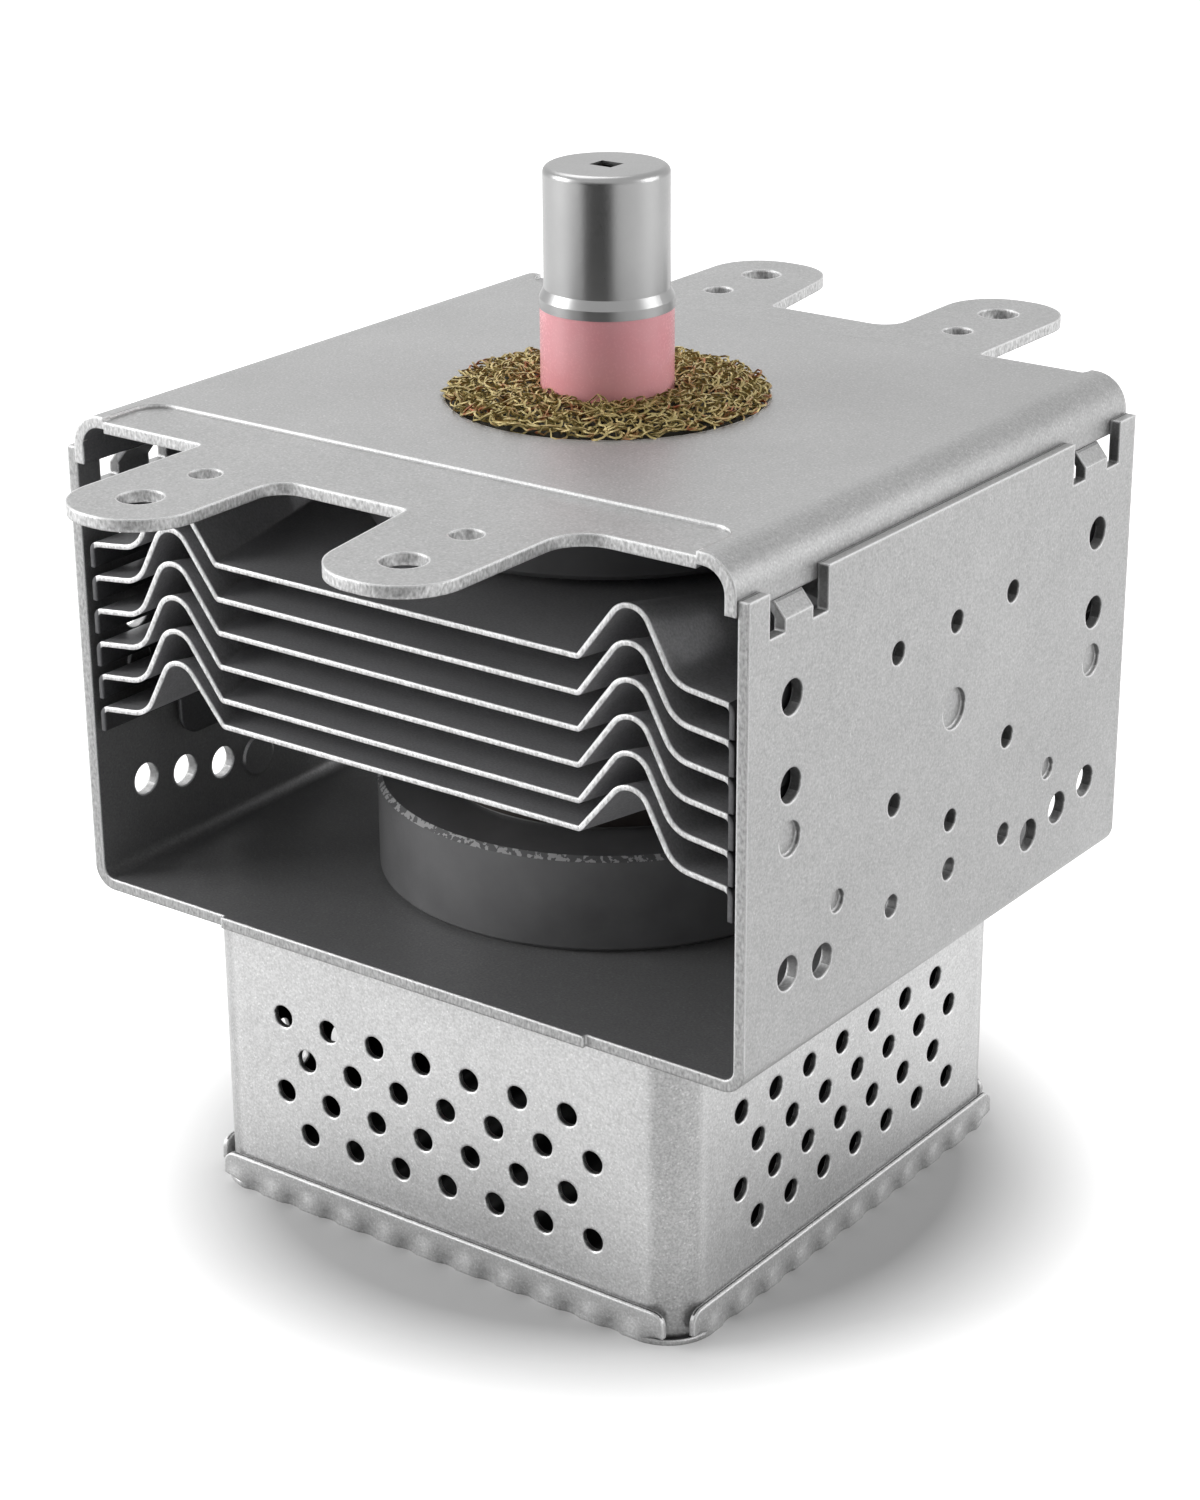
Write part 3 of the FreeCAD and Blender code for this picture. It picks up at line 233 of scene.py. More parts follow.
def painted_edge_highlight(tree, rounded, facing):
    """Painted highlight on an edge, from 0 on a flat face to its full amount on a sharp edge that looks up.
    """
    along_face = add(tree, "VectorMath", {0: rounded, 1: facing}, out=1, operation="DOT_PRODUCT")
    edge = add(tree, "MapRange", {0: along_face, 1: HIGHLIGHT_STARTS, 2: HIGHLIGHT_IS_FULL, 3: 0.0, 4: EDGE_HIGHLIGHT})
    rise = add(tree, "SeparateXYZ", {0: rounded}, out=2)
    upward = add(tree, "MapRange", {0: rise, 1: LOOKS_DOWN, 2: LOOKS_LEVEL})
    return add(tree, "Math", {0: edge, 1: upward}, operation="MULTIPLY")


print("rounding of an edge:", round(EDGE_ROUNDING / MM, 2), "mm")

# %% [markdown]
# Where the sheet was sheared, the bare steel is rough and bright, with upright marks from the tool. Shade
# is painted on the walls of punched holes, inside the yoke and in other recesses, and a highlight on a few
# edges. The mesh could be cut along each such zone and given more materials, but the solid model's mesh
# stays as it is, so the zones are painted over the skin where a rule on place and facing holds.

# %% Recipe for a sheet
TOOL_MARK = 0.32 * MM
MARK_UPRIGHT = 0.55
MARK_GAIN = 1.5
MARK_BASE = 0.12
TORN = 5.0
DENT_SHADE_SHARE = 0.22
DENT_DEPTH = 0.75 * MM
SKIN_RELIEF = 0.32
SKIN_DEPTH = 0.05 * MM
ROUGHNESS_SPREAD = 0.18


def sheet(name, skin, zones, metallic=0.45, roughness=0.44, sparkle=0.20,
          pressed=None, painted_reflection=None, unhighlighted=None):
    """Sheet metal. A zone is (colour, whether tool marks run up it, rule), and covers earlier ones.

    pressed gives the height of dents that a tool left, from the tree, place and facing; the dents bump the
    normal, and their light and shade are painted into the skin.
    The next argument gives a painted reflection, lighter or darker by facing, from the tree and facing.
    The last argument is a rule for edges that get no painted highlight.
    """
    material, tree, shader, place, facing = start(name)
    tone, grain = zinc_tone(tree, place, sparkle)
    # Painted light and shade of the dents: recesses darker, bulges lighter.
    if pressed:
        dents = pressed(tree, place, facing)
        tone = add(tree, "Math", {0: dents, 1: DENT_SHADE_SHARE, 2: tone}, operation="MULTIPLY_ADD")
    # A painted dark reflection is added to the tone by facing, on the box's upright corners.
    if painted_reflection:
        tone = add(tree, "Math", {0: painted_reflection(tree, facing), 1: tone}, operation="ADD")
    colour = add(tree, "VectorMath", {0: linear(skin)[:3], 3: tone}, operation="SCALE")
    scale = (1 / TOOL_MARK, 1 / TOOL_MARK, MARK_UPRIGHT / TOOL_MARK)
    upright = add(tree, "Mapping", {0: place, 3: scale})
    marks = add(tree, "TexNoise", {"Vector": upright, "Scale": 1.0, "Detail": 3.0})
    streak = add(tree, "Math", {0: marks, 1: MARK_GAIN, 2: MARK_BASE}, operation="MULTIPLY_ADD")
    torn = 0.0
    for code, marked, rule in zones:
        where = mask(tree, place, facing, rule)
        own_tone = streak if marked else tone
        shade = add(tree, "VectorMath", {0: linear(code)[:3], 3: own_tone}, operation="SCALE")
        colour = add(tree, "Mix", {0: where, 6: colour, 7: shade}, out=2, data_type="RGBA")
        if marked:
            torn = add(tree, "Math", {0: marks, 1: where, 2: torn}, operation="MULTIPLY_ADD")
    rounded = add(tree, "Bevel", {0: EDGE_ROUNDING}, samples=6)
    # Painted highlight: on rounded edges that look up, the skin is mixed with white, except where a rule
    # spares them.
    edge_highlight = painted_edge_highlight(tree, rounded, facing)
    if unhighlighted:
        spared = mask(tree, place, facing, unhighlighted)
        reached = add(tree, "Math", {0: 1.0, 1: spared}, operation="SUBTRACT")
        edge_highlight = add(tree, "Math", {0: edge_highlight, 1: reached}, operation="MULTIPLY")
    colour = add(tree, "Mix", {0: edge_highlight, 6: colour, 7: linear("FFFFFF")}, out=2, data_type="RGBA")
    tree.links.new(colour, shader.inputs["Base Color"])
    shader.inputs["Metallic"].default_value = metallic
    smoothest = roughness - ROUGHNESS_SPREAD / 2
    spread = add(tree, "Math", {0: grain, 1: ROUGHNESS_SPREAD, 2: smoothest}, operation="MULTIPLY_ADD")
    tree.links.new(spread, shader.inputs["Roughness"])
    height = add(tree, "Math", {0: torn, 1: TORN, 2: grain}, operation="MULTIPLY_ADD")
    if pressed:
        rounded = add(tree, "Bump", {"Height": dents, "Strength": 1.0, "Distance": DENT_DEPTH,
                                     "Normal": rounded})
    bump = add(tree, "Bump", {"Height": height, "Strength": SKIN_RELIEF, "Distance": SKIN_DEPTH,
                              "Normal": rounded})
    tree.links.new(bump, shader.inputs["Normal"])
    return material


print("tool marks:", round(TOOL_MARK / MM, 2), "mm")

# %% [markdown]
# Each flange of the lid was crimped with a row of blunt teeth. The solid model has each dent as a shallow
# form, and a wave along the edge softens it with a bump and paints its light and shade into the skin. On
# the box's upright corners a dark reflection is painted into the skin. A map could be baked for that, but
# how far a face is turned into a corner already says enough.

# %% Crimps on the lid, and a painted dark reflection on the box's corners
lid_low, lid_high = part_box("filter_lid")
CRIMP_PITCH = 6.23 * MM
CRIMP_SHIFT = 1.85 * MM
CRIMP_TOP = lid_high.z - 1.1 * MM
CRIMP_FOOT = lid_low.z + 0.8 * MM
CRIMP_DEPTH = -0.5
CORNER_STARTS = 0.10
CORNER_IS_FULL = 0.34
CORNER_REFLECTION_TONE = -0.26


def crimps(tree, place, facing):
    """Height of the soft dents that the crimping tool left along the lid's lower edge."""
    x, y, z = (add(tree, "SeparateXYZ", {0: place}, out=axis) for axis in range(3))
    side = mask(tree, place, facing, [[("nx size", ">", 0.5)]])
    along_front = add(tree, "Math", {0: x, 1: CRIMP_SHIFT}, operation="SUBTRACT")
    along_side = add(tree, "Math", {0: y, 1: CRIMP_SHIFT}, operation="ADD")
    along = add(tree, "Mix", {0: side, 2: along_front, 3: along_side})
    turns = add(tree, "Math", {0: along, 1: 2 * math.pi / CRIMP_PITCH}, operation="MULTIPLY")
    wave = add(tree, "Math", {0: turns}, operation="COSINE")
    depth = add(tree, "MapRange", {0: z, 1: CRIMP_TOP, 2: CRIMP_FOOT, 3: 0.0, 4: CRIMP_DEPTH},
                interpolation_type="SMOOTHSTEP")
    return add(tree, "Math", {0: wave, 1: depth}, operation="MULTIPLY")


def painted_corner_reflection(tree, facing):
    """Painted dark reflection: below zero on the box's upright corners, where the product of both facings
    isn't zero.
    """
    across, along = (add(tree, "SeparateXYZ", {0: facing}, out=axis) for axis in (0, 1))
    product = add(tree, "Math", {0: across, 1: along}, operation="MULTIPLY")
    turned = add(tree, "Math", {0: product}, operation="ABSOLUTE")
    limits = {1: CORNER_STARTS, 2: CORNER_IS_FULL, 3: 0.0, 4: CORNER_REFLECTION_TONE}
    return add(tree, "MapRange", {0: turned, **limits}, interpolation_type="SMOOTHSTEP")


print("crimps reach up", round((CRIMP_TOP - lid_low.z) / MM, 1), "mm from the lid's foot")

# %% [markdown]
# ## The mounting plate, the yoke, the filter box, its lid and the fins
#
# The zones follow the pieces' own faces, so their limits are worked out from the frame, most of
# them a hair beyond the face that they take in. Lengths are in mm here. A colour could be
# painted on each face by hand, but a limit in words moves along when the solid model changes.

# %% Limits that the sheets share
HAIR = 0.1
STEEL = 1.4
BOX_SHEET = 0.8
FIN_SHEET = 0.6
OPEN_FACE = 41.5
ENDS = [("ny size", ">", 0.7), ("y size", ">", OPEN_FACE)]
print("cut ends lie beyond", OPEN_FACE, "mm to the front and back")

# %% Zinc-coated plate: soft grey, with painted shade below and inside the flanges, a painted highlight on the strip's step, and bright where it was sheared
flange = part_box("mounting_plate")[1].x / MM - STEEL
PLATE_FRONT = 42.2
FLANGE_LEVEL = -2.3
STRIP_END = 42.4
STRIP_BACK = 33
STRIP_FRONT = 41
STEP_LEVEL = -0.3
UNHIGHLIGHTED_FROM = 30
shaded_underside = [("nz", "<", -0.5), ("y size", "<", PLATE_FRONT - HAIR)]
shaded_inside_flange = [("x size", "<", flange + 2 * HAIR), ("z", "<", FLANGE_LEVEL)]
strip_step_highlight = [("nz", "<", 0.97), ("nz", ">", -0.3), ("x size", "<", STRIP_END), ("z", ">", STEP_LEVEL),
              ("y size", ">", STRIP_BACK), ("y size", "<", STRIP_FRONT)]
ear_edge = [("nz size", "<", 0.3), ("x size", "<", flange - HAIR), ("y size", ">", OPEN_FACE)]
# The strip's edges get no painted highlight.
strip = [("x size", "<", flange), ("y size", ">", UNHIGHLIGHTED_FROM), ("y size", "<", STRIP_FRONT)]
plate_steel = sheet("zinc_steel_plate", "ADADAD", [
    # Painted shade on the faces that look down and on the flanges' inner faces.
    ("7C7C7E", False, [shaded_underside, shaded_inside_flange]),
    # Painted highlight on the step at the strip's front edge.
    ("E4E4E4", False, [strip_step_highlight]),
    ("D2D2D2", True, [ENDS, ear_edge]),
], unhighlighted=[strip])
print("inner face of the plate's flanges:", round(flange, 1), "mm")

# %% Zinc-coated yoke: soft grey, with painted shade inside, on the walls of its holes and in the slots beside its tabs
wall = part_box("yoke_frame")[1].x / MM - STEEL
yoke_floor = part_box("yoke_frame")[0].z / MM + STEEL
HOLES_ABOVE = 2
SLOT_LEVEL = -8
shaded_inside_yoke = [("x size", "<", wall + HAIR), ("z", ">", yoke_floor - 2 * HAIR)]
shaded_hole_wall = [("x size", ">", wall + HAIR / 5), ("nx size", "<", 0.35), ("nz", "<", 0.6),
             ("z", ">", yoke_floor + HOLES_ABOVE), ("y size", "<", OPEN_FACE + 3 * HAIR)]
shaded_slot = [("x size", "<", wall + 3 * HAIR), ("nz", ">", 0.9), ("z", ">", SLOT_LEVEL)]
yoke_steel = sheet("zinc_steel_yoke", "B2B2B2", [
    # Painted shade on the yoke's inner faces.
    ("8C8C8D", False, [shaded_inside_yoke]),
    # Painted shade on the walls of the holes and on the tabs' sides.
    ("787878", False, [shaded_hole_wall]),
    # Painted shade, nearly black, in the slots beside the tabs.
    ("1E1E1E", False, [shaded_slot]),
    ("B4B4B4", True, [ENDS]),
])
print("inner face of the yoke's walls:", round(wall, 1), "mm")

# %% Zinc-coated box: brighter from drawing, with painted shade in and behind its holes and a painted dark reflection on its corners
box_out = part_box("filter_box")[1].x / MM
box_in = box_out - BOX_SHEET
BOX_CORNER = 2.3
in_sheet = [("x size", "<", box_out - HAIR), ("y size", "<", box_out - HAIR)]
shaded_right_holes = in_sheet + [("x size", ">", box_in + HAIR), ("nx size", "<", 0.5)]
shaded_front_holes = in_sheet + [("y size", ">", box_in + HAIR), ("ny size", "<", 0.5)]
shaded_behind_front = [("x size", "<", box_in - BOX_CORNER), ("y size", "<", box_in + 2 * HAIR)]
shaded_behind_right = [("x size", "<", box_in + 2 * HAIR), ("y size", "<", box_in - BOX_CORNER)]
box_steel = sheet("zinc_steel_box", "CACACA", [
    # Painted shade on the walls of the box's holes.
    ("8A8A8A", False, [shaded_right_holes, shaded_front_holes]),
    # Painted shade on the box's inner faces, seen through the holes.
    ("2A2A2B", False, [shaded_behind_front, shaded_behind_right]),
], metallic=0.6, roughness=0.36, painted_reflection=painted_corner_reflection)
print("inner face of the box:", round(box_in, 1), "mm")

# %% Zinc-coated lid: a bright cut rim, a painted shadow of the joint behind it, painted shade on its floor inside the box, and crimps below
rim_level = lid_high.z / MM - 8 * HAIR
JOINT = 36.5
lid_rim = [("nz", ">", 0.7), ("z", ">", rim_level)]
joint_shadow = lid_rim + [("x size", "<", JOINT), ("y size", "<", JOINT)]
shaded_lid_floor = [("x size", "<", box_out + HAIR), ("y size", "<", box_out + HAIR), ("nz", ">", 0.5),
             ("z", "<", rim_level - 5 * HAIR)]
lid_steel = sheet("zinc_steel_lid", "C4C4C4", [
    ("D8D8D8", True, [lid_rim]),
    # Painted shadow of the joint, on the inner half of the rim.
    ("161616", False, [joint_shadow]),
    # Painted shade on the lid's floor inside the box.
    ("3A3A3B", False, [shaded_lid_floor]),
], pressed=crimps)
print("the lid's rim lies above", round(rim_level, 1), "mm")

# %% Rolled aluminium fins: slightly blue, with little sparkle, and painted shade on their turned-down lips
left_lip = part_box("fin_1")[0].x / MM + FIN_SHEET + HAIR
right_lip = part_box("fin_1")[1].x / MM - FIN_SHEET - HAIR
shaded_lips = [[("x", "<", left_lip)], [("x", ">", right_lip)]]
fin_sheet = sheet("rolled_aluminium", "B4B4B6", [
    ("DEDEDE", True, [ENDS]),
    # Painted shade on the turned-down lips.
    ("58585A", False, shaded_lips),
], metallic=0.55, roughness=0.42, sparkle=0.05, unhighlighted=shaded_lips)
print("fins between their lips:", round(right_lip - left_lip, 1), "mm")

# %% [markdown]
# ## Ferrite, drawn steel, ceramic and the metals inside
#
# The magnets are sintered ferrite: a dark stone with a faint sheen and a crumbled rim. The cap is
# thin steel drawn over a punch, smooth along its height. The collar is pink alumina, which
# takes its colour from a trace of chromium and scatters light like fine china. Each could have a
# recipe of its own, but two tones in soft patches and a fine grain are enough for all of them, so
# one short recipe serves.

# %% Recipe for a single solid
CRUMB = 0.7 * MM
CHIPPED_FROM = 0.52
FINE_DEPTH = 0.03 * MM
FINE_SPREAD = 0.16


def solid_finish(name, light, deep, patch, roughness, metallic=0.0, rim=None, bump=0.1):
    """One solid's finish: two tones in patches of a size, and crumbled light spots along a rim."""
    material, tree, shader, place, facing = start(name)
    clouds = add(tree, "TexNoise", {"Vector": place, "Scale": 1 / patch, "Detail": 4.0})
    colour = add(tree, "Mix", {0: clouds, 6: linear(deep), 7: linear(light)}, out=2, data_type="RGBA")
    fine = add(tree, "TexNoise", {"Vector": place, "Scale": 1 / GRAIN, "Detail": 2.0})
    if rim:
        spots = add(tree, "TexNoise", {"Vector": place, "Scale": 1 / CRUMB, "Detail": 2.0})
        chipped = add(tree, "Math", {0: spots, 1: CHIPPED_FROM}, operation="GREATER_THAN")
        edge = add(tree, "Math", {0: chipped, 1: mask(tree, place, facing, rim)}, operation="MULTIPLY")
        colour = add(tree, "Mix", {0: edge, 6: colour, 7: linear("B4B4B4")}, out=2, data_type="RGBA")
    tree.links.new(colour, shader.inputs["Base Color"])
    shader.inputs["Metallic"].default_value = metallic
    smoothest = roughness - FINE_SPREAD / 2
    spread = add(tree, "Math", {0: fine, 1: FINE_SPREAD, 2: smoothest}, operation="MULTIPLY_ADD")
    tree.links.new(spread, shader.inputs["Roughness"])
    relief = add(tree, "Bump", {"Height": fine, "Strength": bump, "Distance": FINE_DEPTH})
    tree.links.new(relief, shader.inputs["Normal"])
    return material


print("crumbs of the ferrite's rim:", round(CRUMB / MM, 2), "mm")

# %% Finishes of the solids that show
magnet_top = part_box("lower_magnet")[1].z / MM
crumbled = [("z", "<", magnet_top + 0.05), ("z", ">", magnet_top - 0.9), ("nz", ">", 0.2), ("nz", "<", 0.9)]

# Sintered ferrite: a dull dark stone whose rim has broken into light crumbs.
ferrite = solid_finish("sintered_ferrite", "727273", "565657", 6 * MM, 0.5, bump=0.3, rim=[crumbled])
# Fired alumina: an even pink with the soft gloss of china.
ceramic = solid_finish("pink_alumina", "FFC0C6", "FFA6B0", 5 * MM, 0.26)
# Steel drawn over a punch: smooth, so it mirrors the surround and the card as upright bands.
drawn_steel = solid_finish("drawn_steel", "A0A0A0", "909090", 8 * MM, 0.32, metallic=1.0, bump=0.05)
print("the magnet's rim lies at", round(magnet_top, 1), "mm")

# %% Finishes of the solids inside the tube and the box
# Copper that was fired in hydrogen: clean, warm and bright.
copper = solid_finish("bare_copper", "C98A68", "B8704E", 3 * MM, 0.35, metallic=1.0)
# Copper that has been hot in air: nearly black, with a brown cast.
dull_copper = solid_finish("oxidised_copper", "4C4644", "38332F", 4 * MM, 0.5, metallic=0.6)
# Pressed steel without zinc: a plain grey shine.
plain_steel = solid_finish("pressed_steel", "A8A8A8", "8C8C8C", 4 * MM, 0.4, metallic=1.0)
# Molybdenum: darker and duller than steel.
dark_metal = solid_finish("molybdenum", "77777A", "5C5C60", 3 * MM, 0.45, metallic=1.0)
# Enamelled wire: clear brown varnish, glossy over copper.
enamel = solid_finish("enamelled_wire", "A5522A", "87401F", 3 * MM, 0.25)
# Moulded resin: black and satin.
moulding = solid_finish("moulded_resin", "26262A", "1C1C1F", 4 * MM, 0.5)
# Tinned brass: pale, a little yellow and bright.
tinned = solid_finish("tinned_brass", "C9C7C0", "B3B1A8", 3 * MM, 0.32, metallic=1.0)
print("materials so far:", len(bpy.data.materials))

# %% [markdown]
# Every solid is named for its part, so a piece of the name picks the finish. The first match
# counts, and what matches nothing is copper, such as the vanes, the straps and the exhaust tube.
# Setting 54 solids by hand would work too, but a new one would be forgotten.

# %% Give every solid its finish
FINISHES = {
    "mounting_plate": plate_steel,
    "yoke_frame": yoke_steel,
    "filter_box": box_steel,
    "filter_lid": lid_steel,
    "magnet": ferrite,
    "fin_": fin_sheet,
    "ceramic": ceramic,
    "antenna_cap": drawn_steel,
    "pole_piece": plain_steel,
    "anode_cylinder": dull_copper,
    "seal": plain_steel,
    "hat": dark_metal,
    "filament": dark_metal,
    "centre_lead": dark_metal,
    "side_lead": dark_metal,
    "choke_coil": enamel,
    "choke_core": ferrite,
    "capacitor_body": moulding,
    "capacitor": tinned,
    "terminal": tinned,
}
for node_name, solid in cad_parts.items():
    chosen = next((given for part, given in FINISHES.items() if part in node_name), copper)
    solid.data.materials.clear()
    solid.data.materials.append(chosen)
print("finished solids:", len(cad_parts))

# %% [markdown]
# ## The wire gasket
#
# Round the antenna lies a ring of knitted brass wire that seals the joint against leaking
# microwaves. It is a loose heap of small stitches over a dark heart, higher at the middle than at
# the rim. A hair system or a bump pattern could suggest it, but only real loops give the dark
# gaps and the bright crossings, so one stitch is modelled and some 800 copies are laid down.
# A stitch is a thin ring pressed oval, with a wide head that is bent up and a narrow foot.

# %% Choose points and make one stitch
STITCH = 1.15 * MM
WIRE = 0.145 * MM
OVAL = 0.72
HEAD_FROM = 0.35
HEAD_LIFT = 0.34 * MM
HEAD_SPREAD = 1.35
FOOT_FROM = -0.55
FOOT_LIFT = 0.22 * MM
FOOT_SPREAD = 0.45


def choose(piece, test):
    """In edit mode, select only the points for which the test of their place in mm holds."""
    bpy.ops.mesh.select_all(action="DESELECT")
    bpy.ops.object.mode_set(mode="OBJECT")
    for point in piece.data.vertices:
        point.select = test(point.co / MM)
    bpy.ops.object.mode_set(mode="EDIT")


bpy.ops.object.select_all(action="DESELECT")
bpy.ops.mesh.primitive_torus_add(major_segments=11, minor_segments=3,
                                 major_radius=STITCH, minor_radius=WIRE)
stitch = bpy.context.object
bpy.ops.object.mode_set(mode="EDIT")
bpy.ops.transform.resize(value=(1, OVAL, 1))
bpy.ops.mesh.select_mode(type="VERT")
choose(stitch, lambda point: point.x > HEAD_FROM)
bpy.ops.transform.translate(value=(0, 0, HEAD_LIFT))
bpy.ops.transform.resize(value=(1, HEAD_SPREAD, 1))
choose(stitch, lambda point: point.x < FOOT_FROM)
bpy.ops.transform.translate(value=(0, 0, FOOT_LIFT))
bpy.ops.transform.resize(value=(1, FOOT_SPREAD, 1))
bpy.ops.object.mode_set(mode="OBJECT")
print("faces of one stitch:", len(stitch.data.polygons))

# %% [markdown]
# The heart is the dense wire below, of which only darkness shows. It is a circle whose edge is
# extruded and scaled from one point of its outline to the next, until the outline closes. A lathe
# tool would do the same, but each step here is one that a learner can repeat by hand.

# %% The heart of the ring, as radius and level in mm
HEART = [
    (8.5, -1.3),
    (8.5, 0.6),
    (9.6, 1.15),
    (12.5, 1.05),
    (15.5, 0.45),
    (17.6, -0.35),
    (18.4, -1.3),
    (8.5, -1.3),
]
first_radius, first_level = HEART[0]
bpy.ops.object.select_all(action="DESELECT")
bpy.ops.mesh.primitive_circle_add(vertices=72, radius=first_radius * MM,
                                  location=(0, 0, first_level * MM))
heart = bpy.context.object
bpy.ops.object.mode_set(mode="EDIT")
for (radius, level), (next_radius, next_level) in zip(HEART, HEART[1:]):
    rise = (next_level - level) * MM
    bpy.ops.mesh.extrude_region_move(TRANSFORM_OT_translate={"value": (0, 0, rise)})
    bpy.ops.transform.resize(value=(next_radius / radius, next_radius / radius, 1))
bpy.ops.mesh.select_all(action="SELECT")
bpy.ops.mesh.remove_doubles(threshold=0.01 * MM)
bpy.ops.mesh.normals_make_consistent(inside=False)
bpy.ops.object.mode_set(mode="OBJECT")
bpy.ops.object.transform_apply(location=True, rotation=True, scale=True)
print("faces of the heart:", len(heart.data.polygons))

# %% [markdown]
# The stitches lie in rings, one row beside the next, half as many again as fit side by side.
# Each gets its own place, turn, tilt and size by chance, from a fixed start, so that the heap is
# loose and still the same on each run. A dome says how high a stitch lies.

# %% Lay the stitches
random.seed(7)
INNER = 8.7
OUTER = 18.5
CREST = 1.5
ROWS = 9
PITCH = 1.38
INNER_DROP = 0.5
INNER_SHARE = 0.12
RIM_DROP = 1.5
RIM_SHARE = 0.2
RIM_CURVE = 1.6


def dome(radius):
    """Height of the gasket's skin, in mm: round at the antenna, falling away towards the rim."""
    share = (radius - INNER) / (OUTER - INNER)
    at_antenna = INNER_DROP * max(0, 1 - share / INNER_SHARE)
    at_rim = RIM_DROP * max(0, share - RIM_SHARE) ** RIM_CURVE
    return CREST - at_antenna - at_rim


stitches = []
for row in range(ROWS):
    base = INNER + (OUTER - INNER) * row / (ROWS - 1)
    count = int(2 * math.pi * base / PITCH) * 3 // 2
    for number in range(count):
        radius = min(max(base + random.uniform(-0.5, 0.5), INNER), OUTER)
        angle = 2 * math.pi * (number + random.uniform(-0.35, 0.35)) / count
        turn = Matrix.Rotation(angle + random.choice((0, math.pi / 2)) + random.gauss(0, 0.5), 4, "Z")
        tilt_x = Matrix.Rotation(random.gauss(0, 0.42), 4, "X")
        tilt_y = Matrix.Rotation(random.gauss(0, 0.32), 4, "Y")
        size = Matrix.Diagonal((random.uniform(0.75, 1.15), random.uniform(0.75, 1.15), 1, 1))
        level = dome(radius) + random.uniform(-0.45, 0.05)
        spot = Vector((math.cos(angle) * radius, math.sin(angle) * radius, level)) * MM
        copy = stitch.copy()
        copy.data = stitch.data.copy()
        copy.data.transform(Matrix.Translation(spot) @ turn @ (tilt_x @ tilt_y) @ size)
        bpy.context.scene.collection.objects.link(copy)
        stitches.append(copy)
print("stitches:", len(stitches))

# %% [markdown]
# The wire is brass that has darkened unevenly, so its colour wanders from straw to olive and rust
# within a few millimetres. The heart is the same wire in its own shade, and looks nearly black.
# Loops could each have a colour, but noise lets one run from straw to rust as real wire does.

# %% Finish the wire
RUST_PATCH = 2.1 * MM
RUST_FROM = 0.55
RUST_IS_FULL = 0.70

# Darkened brass: straw and olive, with spots of rust.
brass = solid_finish("darkened_brass_wire", "DCC58C", "77702F", 1.3 * MM, 0.42, metallic=0.35)
tree = brass.node_tree
shader = next(item for item in tree.nodes if item.type == "BSDF_PRINCIPLED")
place = tree.nodes.new("ShaderNodeTexCoord").outputs["Object"]
rust = add(tree, "TexNoise", {"Vector": place, "Scale": 1 / RUST_PATCH, "Detail": 2.0})
rusty = add(tree, "MapRange", {0: rust, 1: RUST_FROM, 2: RUST_IS_FULL})
former = shader.inputs["Base Color"].links[0].from_socket
spotted = add(tree, "Mix", {0: rusty, 6: former, 7: linear("96532F")}, out=2, data_type="RGBA")
tree.links.new(spotted, shader.inputs["Base Color"])
# The same wire in its own shade: nearly black.
shadow_brass = solid_finish("shaded_brass_wire", "2A2614", "14120A", 1.5 * MM, 0.6, metallic=0.3)
print("rust in patches of", round(RUST_PATCH / MM, 2), "mm")

# %% Join the ring
heart.data.materials.append(shadow_brass)
bpy.data.objects.remove(stitch)
bpy.ops.object.select_all(action="DESELECT")
for copy in stitches:
    copy.data.materials.append(brass)
    copy.select_set(True)
heart.select_set(True)
bpy.context.view_layer.objects.active = heart
bpy.ops.object.join()
bpy.ops.object.shade_smooth_by_angle(angle=math.radians(70))
gasket = bpy.context.object
gasket.name = "gasket_knit"
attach(gasket, "root")
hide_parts("rf_gasket")
print("gasket faces:", len(gasket.data.polygons))

# %% [markdown]
# ## The studio
#
# A white floor and a white surround, as in a catalogue picture. Near the object the floor is
# plain and keeps its shadow. Further out it glows, only for what the camera, a mirror or glass
# sees, until it is as white as the surround. More light could whiten it too, but that would
# bleach the object.

# %% Floor
FLOOR_LEVEL = cad_box[0][2]
FLOOR_SIDE = 4.0
GLOW_FROM = 0.045
GLOW_IS_FULL = 0.069
GLOW = 0.95


def shown(tree):
    """1 for what the camera sees, straight on, in a mirror or through glass."""
    path = tree.nodes.new("ShaderNodeLightPath").outputs
    either = add(tree, "Math", {0: path["Is Camera Ray"], 1: path["Is Glossy Ray"]}, operation="MAXIMUM")
    return add(tree, "Math", {0: either, 1: path["Is Transmission Ray"]}, operation="MAXIMUM")


bpy.ops.object.select_all(action="DESELECT")
bpy.ops.mesh.primitive_plane_add(size=FLOOR_SIDE, location=(0, 0, FLOOR_LEVEL))
floor = bpy.context.object
floor.name = "studio_floor"
floor_finish, tree, shader, place, facing = start("white_floor")
tree.nodes.remove(shader)
lit = add(tree, "BsdfDiffuse", {0: linear("D6D6D6")})
away = add(tree, "VectorMath", {0: place}, out=1, operation="LENGTH")
ramp = add(tree, "MapRange", {0: away, 1: GLOW_FROM, 2: GLOW_IS_FULL, 3: 0.0, 4: GLOW})
strength = add(tree, "Math", {0: shown(tree), 1: ramp}, operation="MULTIPLY")
glow = add(tree, "Emission", {0: (1, 1, 1, 1), 1: strength})
both = add(tree, "AddShader", {0: lit, 1: glow})
tree.links.new(both, next(item for item in tree.nodes if item.type == "OUTPUT_MATERIAL").inputs[0])
floor.data.materials.append(floor_finish)
print("floor level:", round(FLOOR_LEVEL / MM, 1), "mm")

# %% [markdown]
# A dark card stands on the camera's side, as a photographer would place it. Round shapes then
# show a dark band between two bright ones, which makes them read as round. A darker lamp on that
# side couldn't do it. Only reflections see the card: it throws no shadow, takes no light away,
# and the camera looks through it.

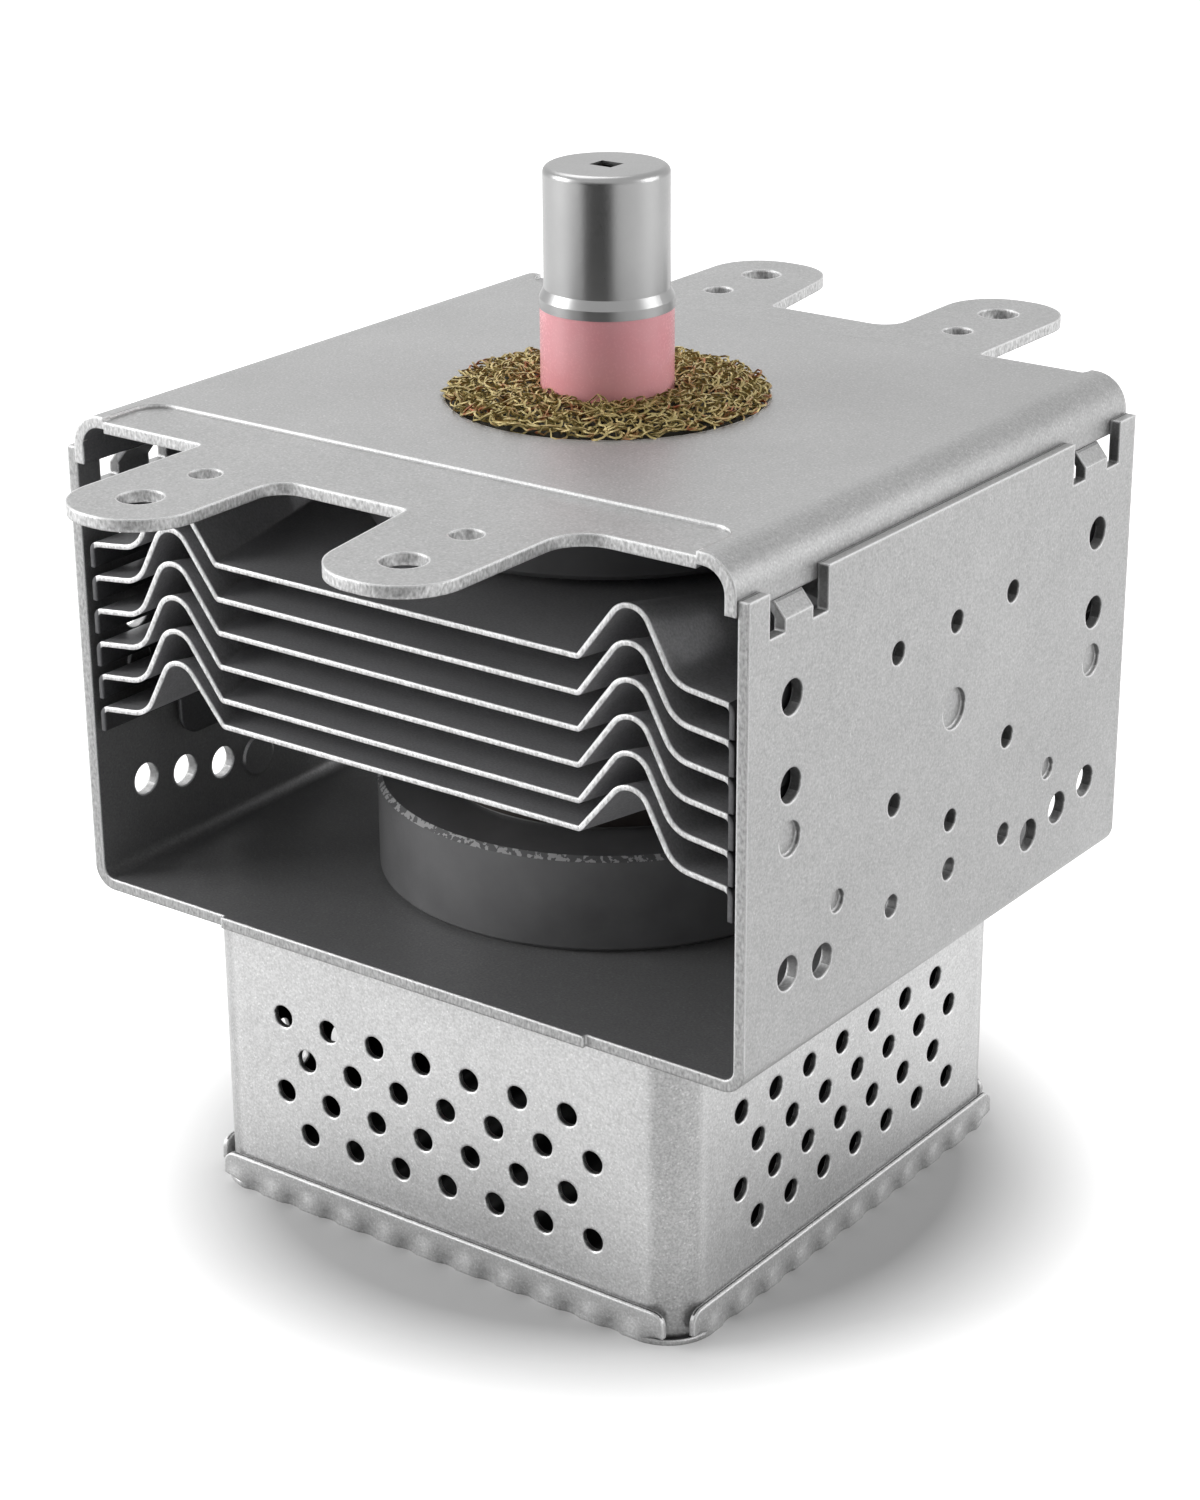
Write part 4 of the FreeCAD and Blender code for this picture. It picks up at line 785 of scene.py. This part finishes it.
# %% Dark card
CARD_REACH = 0.24
CARD_TURN = TURN - math.radians(16)
CARD_WIDTH = 0.25
CARD_HEIGHT = 0.2
bpy.ops.object.select_all(action="DESELECT")
bpy.ops.mesh.primitive_plane_add(size=1.0)
card = bpy.context.object
card.name = "studio_card"
card.data.transform(
    Matrix.Translation((math.sin(CARD_TURN) * CARD_REACH, -math.cos(CARD_TURN) * CARD_REACH, 0.0))
    @ Matrix.Rotation(CARD_TURN, 4, "Z") @ Matrix.Rotation(math.radians(90), 4, "X")
    @ Matrix.Diagonal((CARD_WIDTH, CARD_HEIGHT, 1, 1)))
card_finish, tree, shader, place, facing = start("black_card")
shader.inputs["Base Color"].default_value = linear("4A4A4A")
shader.inputs["Roughness"].default_value = 0.9
card.data.materials.append(card_finish)
card.visible_camera = False
card.visible_diffuse = False
card.visible_shadow = False
print("card stands", CARD_REACH, "m from the middle")

# %% [markdown]
# Soft lamps stand to the left and to the right of the camera's line, and one hangs above. Bright
# lamps from the camera's side would flatten every form. The surround is full white where it is
# seen, and lights the object with a quarter of that.

# %% Lamps, as place, side in m and power in W, and surround
LAMPS = {
    "left_softbox": ((-0.80, -0.58, 0.28), 0.55, 6.8),
    "right_softbox": ((0.86, 0.50, 0.24), 0.55, 4.0),
    "top_softbox": ((-0.45, 0.20, 0.85), 0.7, 3.7),
}
LAMP_AIM = Vector((0, 0, -0.04))
SURROUND_LIGHT = 0.25
for lamp_name, (spot, side, power) in LAMPS.items():
    lamp = bpy.data.lights.new(lamp_name, "AREA")
    lamp.size = side
    lamp.energy = power
    stand = bpy.data.objects.new(lamp_name, lamp)
    bpy.context.scene.collection.objects.link(stand)
    stand.location = spot
    stand.rotation_euler = (LAMP_AIM - Vector(spot)).to_track_quat("-Z", "Y").to_euler()

world = bpy.data.worlds.new("white_surround")
bpy.context.scene.world = world
world.use_nodes = True
tree = world.node_tree
tree.nodes.clear()
strength = add(tree, "Math", {0: shown(tree), 1: 1 - SURROUND_LIGHT, 2: SURROUND_LIGHT},
               operation="MULTIPLY_ADD")
surround = add(tree, "Background", {0: (1, 1, 1, 1), 1: strength})
tree.links.new(surround, tree.nodes.new("ShaderNodeOutputWorld").inputs[0])
bpy.context.scene.view_settings.view_transform = "Standard"
print("lamps:", len(LAMPS))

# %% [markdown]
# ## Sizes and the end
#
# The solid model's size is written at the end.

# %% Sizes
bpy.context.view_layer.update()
sides = Vector(cad_box[1]) - Vector(cad_box[0])
print("size of the solid model:", [round(side / MM, 1) for side in sides], "mm")
